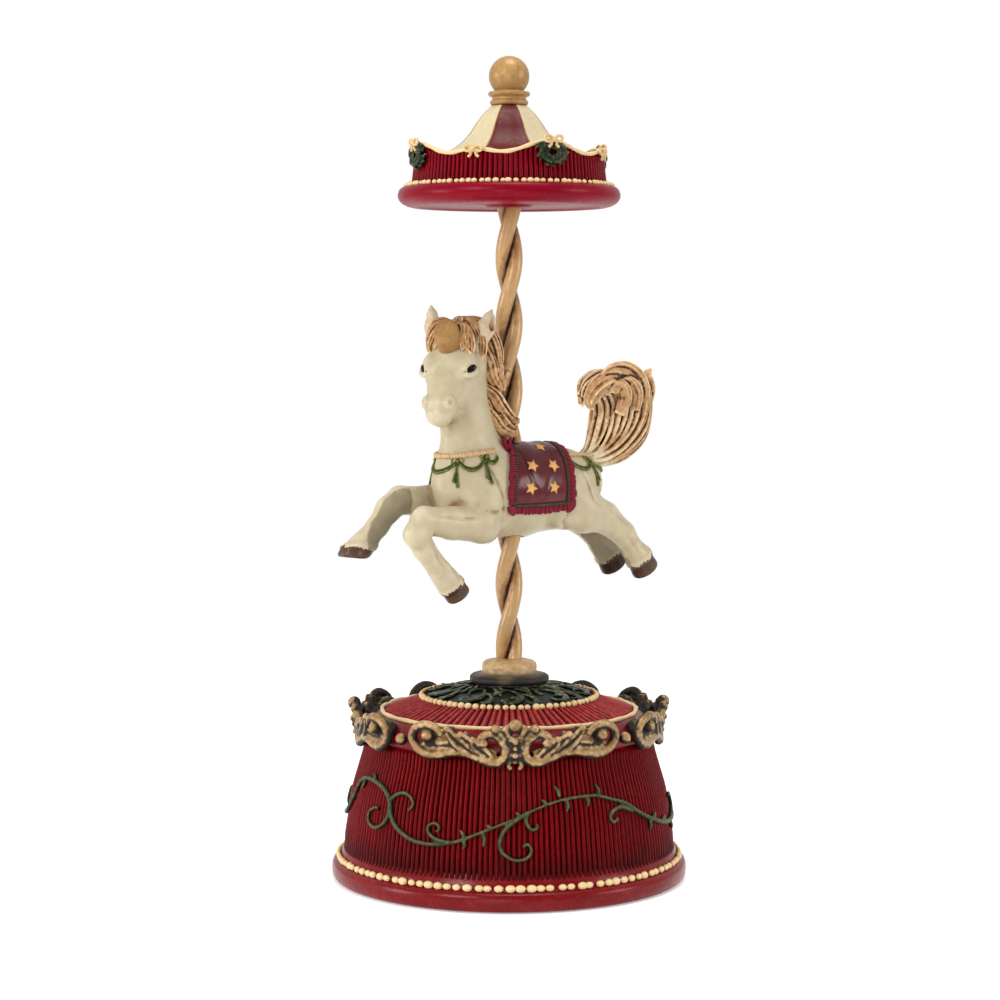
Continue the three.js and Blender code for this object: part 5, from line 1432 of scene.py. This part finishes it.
def makeEyes():
    things = []
    for s in (1, -1):
        verts = np.array([v.co[:] for v in ball("eye", (0, 0, 0), 1.0).data.vertices]) / mm
        bpy.data.objects.remove(bpy.data.objects["eye"])
        centre = inHead(eye["along"], eye["side"] * s, eye["out"])
        long, out, across = eyeAxes(s)
        shaped = centre + 0.15 * out + verts[:, :1] * 1.75 * long + verts[:, 1:2] * 0.8 * out + verts[:, 2:] * 1.05 * across
        source = ball("eyeball", (0, 0, 0), 1.0)
        source.data.vertices.foreach_set("co", (fromHorse(shaped) * mm).astype(np.float32).ravel())
        source.data.update()
        things.append(source)
    return joined("eyes", things)


gildedKnob = paintMaterial("gildedKnob", rgb(150, 112, 66), rgb(92, 62, 34), rgb(184, 148, 98), hollow=False, **{
    "Mottle": 0.6, "Grain Scale": 900.0}, bump=0.14)
eyeBlack = paintMaterial("eyeBlack", rgb(14, 9, 6), rgb(6, 4, 3), rgb(34, 22, 14), hollow=False, **{
    "Mottle": 0.2, "Smooth": 0.1, "Rough": 0.25}, bump=0.02, shine=0.2)
fadeTailRoot()
finish(makeMane(), "carousel", None, ["mane"])
finish(makeTail(), "carousel", None, ["tail"])
finish(makeKnob(), "carousel", gildedKnob, ["forehead_knob"])
finish(makeEyes(), "carousel", eyeBlack)
print("hair, knob and eyes are made")


# Saddle cloth, straps and garlands lie on the sculpted body

def onBody(start, direction, far=13.0, lift=0.0):
    # the outermost spot where each ray from inside leaves the body, then lifted along the normal
    start, direction = np.broadcast_arrays(np.asarray(start, float), np.asarray(direction, float))
    direction = direction / np.linalg.norm(direction, axis=-1, keepdims=True)
    reach = np.zeros(direction.shape[:-1])
    found = np.zeros(direction.shape[:-1], bool)
    for t in np.arange(far, 0, -0.25):
        inside = clay.sample(start + t * direction, trunk) < 0
        reach = np.where(inside & ~found, t, reach)
        found |= inside
    low, high = reach, reach + 0.25
    for _ in range(6):
        half = (low + high) / 2
        inside = clay.sample(start + half[..., None] * direction, trunk) < 0
        low, high = np.where(inside, half, low), np.where(inside, high, half)
    spot = start + low[..., None] * direction
    normal = np.stack([clay.sample(spot + 0.7 * a, trunk) - clay.sample(spot - 0.7 * a, trunk) for a in np.eye(3)], -1)
    normal /= np.linalg.norm(normal, axis=-1, keepdims=True) + 1e-9
    return spot + np.asarray(lift)[..., None] * normal


cloth = {"front": 6.2, "rear": -11.4, "low": radians(-19), "centre": 100.2, "frontLean": 4.6, "rearLean": 1.4, "rows": 56, "columns": 110,
         "fringe": 2.2,
         "stars": [(-0.4, 38), (-7.5, 38), (1.3, 5), (-6.3, 5), (-6.6, 70)]}


def onCloth(x, angle, lift):
    x, angle, lift = np.broadcast_arrays(*(np.asarray(v, float) for v in (x, angle, lift)))
    start = np.stack([x, 0 * x, np.full(x.shape, cloth["centre"])], -1)
    return onBody(start, np.stack([0 * x, np.cos(angle), np.sin(angle)], -1), lift=lift)


def clothEnd(end, angle):
    # the front edge draws back over the withers, the rear edge reaches back over the croup
    return cloth[end] - cloth[end + "Lean"] * np.sin(np.clip(angle, 0, pi)) ** 2


def makeCloth():
    x = np.linspace(0, 1, cloth["rows"])[:, None]
    angle = np.linspace(cloth["low"], pi - cloth["low"], cloth["columns"])[None, :]
    s, t = np.linspace(-1, 1, cloth["rows"])[:, None], np.linspace(-1, 1, cloth["columns"])[None, :]
    full = (1 - s ** 6) * (1 - t ** 8)
    crease = 0.16 * np.exp(-((s - 0.55 + 1.2 * (np.abs(t) - 0.55)) / 0.09) ** 2) + 0.12 * np.exp(-((s + 0.3 - 0.8 * (np.abs(t) - 0.6)) / 0.08) ** 2)
    rolls = 0.1 * np.sin(5 * s + 7 * t) * np.cos(3 * s - 4 * t)
    lift = 0.5 + 0.55 * full - crease * full + rolls * full
    x = clothEnd("rear", angle) * (1 - x) + clothEnd("front", angle) * x
    outer, inner = onCloth(x, angle, lift), onCloth(x, angle, -0.3 + 0 * lift)
    rows, columns = outer.shape[:2]
    grid = np.concatenate([outer, inner[:, ::-1]], 1)
    faces = gridFaces(rows, 2 * columns, False, True)
    ends = []
    for row in (0, rows - 1):
        for k in range(columns - 1):
            a, b = row * 2 * columns + k, row * 2 * columns + k + 1
            c, d = row * 2 * columns + 2 * columns - 2 - k, row * 2 * columns + 2 * columns - 1 - k
            ends.append((a, b, c, d))
    # creases darker and the thin border lighter: painted shade in the creases and painted highlight along the rolled
    # edge
    hollow = np.concatenate([0.5 + 1.6 * crease * full - 0.3 * (1 - full), np.full((rows, columns), 0.5)], 1)
    mesh = meshFrom("saddleCloth", fromHorse(grid.reshape(-1, 3)), faces + ends, {"hollow": np.clip(hollow, 0, 1).ravel()})
    return objectFrom("saddleCloth", mesh)


def clothBorder(out, spacing):
    # places round the cloth's edge: x, angle and the outward step in x and angle
    long = cloth["front"] - cloth["rear"]
    turn = pi - 2 * cloth["low"]
    per = 10.5
    across, along = int(turn * per / spacing), int(long / spacing)
    rows = []
    for k in range(across):
        angle = cloth["low"] + turn * k / across
        rows.append((clothEnd("rear", angle) - out, angle, -1, 0))
    for k in range(along):
        rows.append((cloth["rear"] + long * k / along, pi - cloth["low"] + out / per, 0, 1 / per))
    for k in range(across):
        angle = pi - cloth["low"] - turn * k / across
        rows.append((clothEnd("front", angle) + out, angle, 1, 0))
    for k in range(along):
        rows.append((cloth["front"] - long * k / along, cloth["low"] - out / per, 0, -1 / per))
    return np.array(rows)


def makePiping():
    border = clothBorder(0.1, 0.9)
    line = onCloth(border[:, 0], border[:, 1], 0.7)
    line = np.concatenate([line, line[:1]])
    thick = 0.42 + 0.05 * np.sin(np.arange(len(line)) * 1.7)
    return strands("clothPiping", [fromHorse(np.concatenate([line, thick[:, None]], 1))], leafDark, 8)


def makeFringe():
    border = clothBorder(0.15, 0.62)
    draw, lines = np.random.default_rng(41), []
    steps = np.linspace(0, 1, 5)
    lengths = cloth["fringe"] * draw.uniform(0.85, 1.1, len(border))
    rise = draw.uniform(-0.15, 0.2, len(border))
    x = border[:, :1] + border[:, 2:3] * lengths[:, None] * steps + draw.uniform(-0.15, 0.15, (len(border), 1)) * steps
    angle = border[:, 1:2] + border[:, 3:] * lengths[:, None] * steps
    lift = 0.45 + (0.35 + rise[:, None]) * np.sin(pi * (0.15 + 0.7 * steps))
    spots = onCloth(x, angle, lift)
    for line in spots:
        lines.append(fromHorse(np.concatenate([line, (0.26 + 0.16 * steps)[:, None]], 1)))
    corners = [(cloth["rear"], -1), (cloth["front"], 1)]
    for xc, sx in corners:
        for low, sa in ((cloth["low"], -1), (pi - cloth["low"], 1)):
            for turnShare in np.linspace(0.1, 0.9, 6):
                a, n = turnShare * pi / 2, cloth["fringe"] * 1.1
                cx = xc + sx * (0.15 + n * steps * cos(a))
                ca = low + sa * (0.15 + n * steps * sin(a)) / 10.5
                spot = onCloth(cx, ca, 0.45 + 0.35 * np.sin(pi * (0.15 + 0.7 * steps)))
                lines.append(fromHorse(np.concatenate([spot, (0.26 + 0.2 * steps)[:, None]], 1)))
    # a gathered tuft where the cloth's front corner meets the pole
    for k in range(9):
        a = 2.4 * k
        tip = np.array([5.4 + 1.2 * cos(a), 5.6 + 1.0 * sin(a), 113.0 + 1.0 * sin(1.7 * k)])
        lines.append(fromHorse(np.array([(5.0, 4.8, 109.8, 0.6), (*((np.array([5.2, 5.0, 111]) + tip) / 2), 0.55), (*tip, 0.5)])))
    piece = strands("clothFringe", lines, fringeRed, 7)
    addHollow(piece.data, 5, 2.6)
    return piece


def makeStars():
    verts, faces = [], []
    spin = np.random.default_rng(43)
    for mirror in (1, -1):
        for x, degreesUp in cloth["stars"]:
            angle = radians(degreesUp) if mirror == 1 else pi - radians(degreesUp)
            centre = onCloth(x, angle, 1.25)
            one, two = onCloth(x + 0.5, angle, 1.25) - centre, onCloth(x, angle + 0.05, 1.25) - centre
            one, two = unit(one), unit(two)
            up, start = unit(np.cross(one, two)) * mirror, spin.uniform(0, 1.2)
            up = up if up @ (centre - np.array([x, 0, cloth["centre"]])) > 0 else -up
            first = len(verts)
            for k in range(10):
                r = (1.95 if k % 2 == 0 else 0.95) * spin.uniform(0.9, 1.1)
                a = start + k * pi / 5
                spot = centre + r * (cos(a) * one + sin(a) * two)
                out = spot - np.array([spot[0], 0, cloth["centre"]])
                base = onCloth(spot[0], atan2(out[2], out[1]), 1.14 if k % 2 == 0 else 1.24)
                verts += [base, base - 0.9 * up]
            verts += [centre + 0.28 * up, centre - 0.9 * up]
            for k in range(10):
                a, b = first + 2 * k, first + 2 * ((k + 1) % 10)
                faces += [(a, b, first + 20), (a, b, b + 1, a + 1), (a + 1, b + 1, first + 21)]
    return objectFrom("clothStars", meshFrom("clothStars", fromHorse(np.array(verts)), faces))


def braid(name, loop, thick, material):
    # a rough cord of overlapping beads along a line on the body
    n = len(loop)
    beadSize = thick * (1 + 0.25 * np.sin(np.arange(n) * 2.1) + 0.12 * np.sin(np.arange(n) * 0.7 + 1))
    piece = strands(name, [fromHorse(np.concatenate([loop, beadSize[:, None]], 1))], material, 9)
    addHollow(piece.data, 3, 4.0)
    return piece


def neckLoop(degrees, drop=0.0, lift=0.35):
    # round the base of the neck; 0 is straight ahead, 90 its left
    a = np.radians(np.asarray(degrees, float))
    height = 110.0 + 0.55 * np.sin(a) ** 2 - 0.5 * np.cos(a) - np.asarray(drop)
    start = np.stack([13.4 + 0 * a, 0 * a, height], -1)
    return onBody(start, np.stack([np.cos(a), np.sin(a), 0 * a], -1), 15.0, np.broadcast_to(lift, a.shape))


def rumpLoop(degrees, drop=0.0, lift=0.35):
    a = np.radians(np.asarray(degrees, float))
    height = 107.6 + 1.2 * np.abs(np.sin(a)) - np.asarray(drop)
    start = np.stack([-17.0 + 0 * a, 0 * a, height], -1)
    return onBody(start, np.stack([-np.cos(a), np.sin(a), 0 * a], -1), 14.0, np.broadcast_to(lift, a.shape))


def swagLines(loop, bows, depth, ends, first=1.4):
    lines = []
    hung = [ends[0], *bows, ends[1]]
    for a, b in zip(hung[:-1], hung[1:]):
        t = np.linspace(0, 1, 15)
        dip = first + depth * min(1, abs(b - a) / 50) * np.sin(pi * t) ** 0.8
        thick = 0.26 + 0.17 * np.sin(pi * t)
        lines.append(np.concatenate([loop(a + (b - a) * t, dip, 0.3), thick[:, None]], 1))
        lines.append(np.concatenate([loop(a + (b - a) * t, dip - 0.55, 0.2), (0.8 * thick)[:, None]], 1))
    for a in bows:
        for lean, long in ((-3.5, 5.2), (2.5, 6.6)):
            t = np.linspace(0, 1, 8)
            thick = 0.24 + 0.3 * t ** 2
            lines.append(np.concatenate([loop(a + lean * t, first + long * t, 0.28), thick[:, None]], 1))
        for side in (-1, 1):
            t = np.linspace(0, 2 * pi, 12)
            lines.append(np.concatenate([loop(a + side * (5 - 5 * np.cos(t)), first - 0.3 + 0.9 * np.sin(t), 0.3),
                                         np.full((12, 1), 0.24)], 1))
        lines.append(np.concatenate([loop([a - 2, a, a + 2], [first] * 3, 0.4), [[0.4], [0.6], [0.4]]], 1))
    return lines


def makeGarland(name, loop, bows, depth, ends):
    piece = strands(name, [fromHorse(line) for line in swagLines(loop, bows, depth, ends)], garlandGreen, 7)
    return fused(piece, 0.18, 0, 5, 4.0)


clothPaint = paintMaterial("clothPaint", rgb(78, 10, 18), rgb(30, 3, 8), rgb(124, 50, 54), **{
    "Wash From": 0.5, "Wash To": 0.9, "Worn From": 0.4, "Worn To": 0.1, "Worn Amount": 0.4, "Mottle": 0.45, "Grain Scale": 260.0,
    "Smooth": 0.2, "Rough": 0.36}, bump=0.1, coat=0.22)
fringeRed = paintMaterial("fringeRed", rgb(94, 4, 26), rgb(28, 2, 10), rgb(132, 30, 50), **{
    "Wash From": 0.5, "Wash To": 0.85, "Worn From": 0.35, "Worn To": 0.1, "Worn Amount": 0.5, "Mottle": 0.3}, bump=0.06)
leafDark = paintMaterial("leafDark", rgb(52, 50, 30), rgb(22, 20, 14), rgb(96, 92, 58), hollow=False, **{"Mottle": 0.5}, bump=0.06)
garlandGreen = paintMaterial("garlandGreen", rgb(44, 56, 16), rgb(14, 18, 6), rgb(140, 136, 62), **{
    "Wash From": 0.5, "Wash To": 0.85, "Worn From": 0.45, "Worn To": 0.15, "Worn Amount": 0.7, "Mottle": 0.5}, bump=0.06)
starGold = paintMaterial("starGold", rgb(206, 154, 90), rgb(136, 84, 42), rgb(228, 190, 126), hollow=False, **{"Mottle": 0.5}, bump=0.06)
braidGold = paintMaterial("braidGold", rgb(178, 140, 96), rgb(92, 60, 34), rgb(212, 184, 142), **{
    "Wash From": 0.5, "Wash To": 0.85, "Worn From": 0.4, "Worn To": 0.1, "Worn Amount": 0.6, "Mottle": 0.5}, bump=0.08)
finish(makeCloth(), "carousel", clothPaint)
finish(makePiping(), "carousel", None)
finish(makeFringe(), "carousel", None)
finish(makeStars(), "carousel", starGold)
finish(braid("neckStrap", neckLoop(np.linspace(-118, 118, 150)), 0.62, braidGold), "carousel", None)
finish(braid("rumpStrap", rumpLoop(np.linspace(-112, 112, 120)), 0.5, braidGold), "carousel", None)
finish(makeGarland("neckGarland", neckLoop, [-88, -32, 31, 88], 2.7, [-118, 118]), "carousel", None)
finish(makeGarland("rumpGarland", rumpLoop, [-45, 45], 2.4, [-110, 110]), "carousel", None)
print("saddle cloth, straps and garlands are made")

# The movement, plate, screws and key keep their made shapes and get worked-metal and board finishes

def worked(name, colour, dark, light, metallic, smooth, rough, grain=2600.0, bump=0.02, mottle=0.35):
    return paintMaterial(name, colour, dark, light, hollow=False, bump=bump, metallic=metallic, shine=0.5,
                         **{"Grain Scale": grain, "Mottle": mottle, "Smooth": smooth, "Rough": rough})


workshop = {
    "brass": worked("turnedBrass", rgb(206, 168, 92), rgb(120, 88, 40), rgb(236, 208, 140), 1.0, 0.18, 0.42),
    "steel": worked("brightSteel", rgb(176, 178, 182), rgb(96, 98, 102), rgb(214, 216, 220), 1.0, 0.16, 0.4),
    "zinc": worked("castZinc", rgb(150, 152, 154), rgb(92, 94, 96), rgb(186, 188, 190), 1.0, 0.35, 0.6, 1500.0, 0.05),
    "fibreboard": worked("blackBoard", rgb(46, 40, 36), rgb(20, 17, 15), rgb(84, 74, 64), 0.0, 0.55, 0.85, 1900.0, 0.08, 0.7),
    "nylon": worked("whiteNylon", rgb(220, 216, 204), rgb(180, 174, 160), rgb(236, 232, 222), 0.0, 0.3, 0.5)}
slotOf = {node: row["slot"] for row in frame["record"]["materials"] for node in row.get("nodes", [])}
for name, node in frame["nodes"].items():
    slot = slotOf.get(name) or (node.material_slots[0].name if node.material_slots else "")
    finishName = next((key for key in workshop if key in slot.lower()), None)
    for held in node.material_slots:
        if finishName:
            held.material = workshop[finishName]
    if not finishName:
        print("no workshop finish for", name, slot)
print("movement, plate and key are finished")


# Floor, light and camera

def areaLight(name, place, aim, size, power, colour=(1, 1, 1)):
    lamp = bpy.data.lights.new(name, "AREA")
    lamp.shape, lamp.size, lamp.energy, lamp.color = "DISK", size, power, colour
    thing = bpy.data.objects.new(name, lamp)
    thing.location = place
    thing.rotation_euler = (Vector(aim) - Vector(place)).to_track_quat("-Z", "Y").to_euler()
    bpy.context.scene.collection.objects.link(thing)


studio = {"room": (-0.9, 0.2, 0.38, 0.8), "floorGlow": 0.3, "floorRadius": 0.5,
          "lamps": [("keyLight", (-0.5, -0.7, 0.55), 0.3, 3.5), ("frontLight", (-0.15, -1.1, 0.05), 0.4, 1.9), ("rightLight", (0.85, -0.25, 0.3), 0.35, 2.4),
                    ("leftLight", (-0.85, -0.25, 0.2), 0.35, 2.9), ("topLight", (0.05, -0.05, 0.85), 0.4, 3.0)]}


def makeStage():
    floorMesh = bpy.data.meshes.new("floor")
    rim = [(studio["floorRadius"] * np.cos(a), studio["floorRadius"] * np.sin(a), 0) for a in np.linspace(0, 2 * pi, 96, endpoint=False)]
    floorMesh.from_pydata(rim, [], [tuple(range(96))])
    floor = objectFrom("floor", floorMesh)
    floor.location.z = -0.0002
    paper = bpy.data.materials.new("palePaper")
    paper.use_nodes = True
    paper.node_tree.nodes["Principled BSDF"].inputs["Base Color"].default_value = (0.9, 0.9, 0.9, 1)
    paper.node_tree.nodes["Principled BSDF"].inputs["Roughness"].default_value = 0.9
    paper.node_tree.nodes["Principled BSDF"].inputs["Emission Color"].default_value = (1, 1, 1, 1)
    paper.node_tree.nodes["Principled BSDF"].inputs["Emission Strength"].default_value = studio["floorGlow"]
    floorMesh.materials.append(paper)
    world = bpy.data.worlds.new("studio")
    bpy.context.scene.world = world
    world.use_nodes = True
    tree = world.node_tree
    background = tree.nodes["Background"]
    background.inputs["Color"].default_value = (1, 1, 1, 1)
    # what the eye sees is white all round, but the room in front of the piece lights it less than the white sweep behind
    way = nodeIn(tree, "ShaderNodeSeparateXYZ")
    tree.links.new(nodeIn(tree, "ShaderNodeTexCoord").outputs["Generated"], way.inputs[0])
    depth = nodeIn(tree, "ShaderNodeMapRange")
    tree.links.new(way.outputs["Y"], depth.inputs["Value"])
    for key, value in zip(("From Min", "From Max", "To Min", "To Max"), studio["room"]):
        depth.inputs[key].default_value = value
    dim = nodeIn(tree, "ShaderNodeMapRange")
    tree.links.new(nodeIn(tree, "ShaderNodeLightPath").outputs["Is Camera Ray"], dim.inputs["Value"])
    tree.links.new(depth.outputs[0], dim.inputs["To Min"])
    dim.inputs["To Max"].default_value = 1.0
    tree.links.new(dim.outputs[0], background.inputs["Strength"])
    for name, place, size, power in studio["lamps"]:
        areaLight(name, place, (0, 0, 0.1), size, power)


def makeCamera():
    lens = bpy.data.cameras.new("camera")
    lens.lens, lens.sensor_width = 90.3, 36.0
    lens.clip_start, lens.clip_end = 0.05, 30.0
    thing = bpy.data.objects.new("camera", lens)
    thing.location = (-0.00233, -0.6461, 0.1426)
    thing.rotation_euler = (radians(90 - 3.99), 0, 0)
    bpy.context.scene.collection.objects.link(thing)
    bpy.context.scene.camera = thing


makeStage()
makeCamera()
bpy.context.scene.view_settings.view_transform = "Standard"
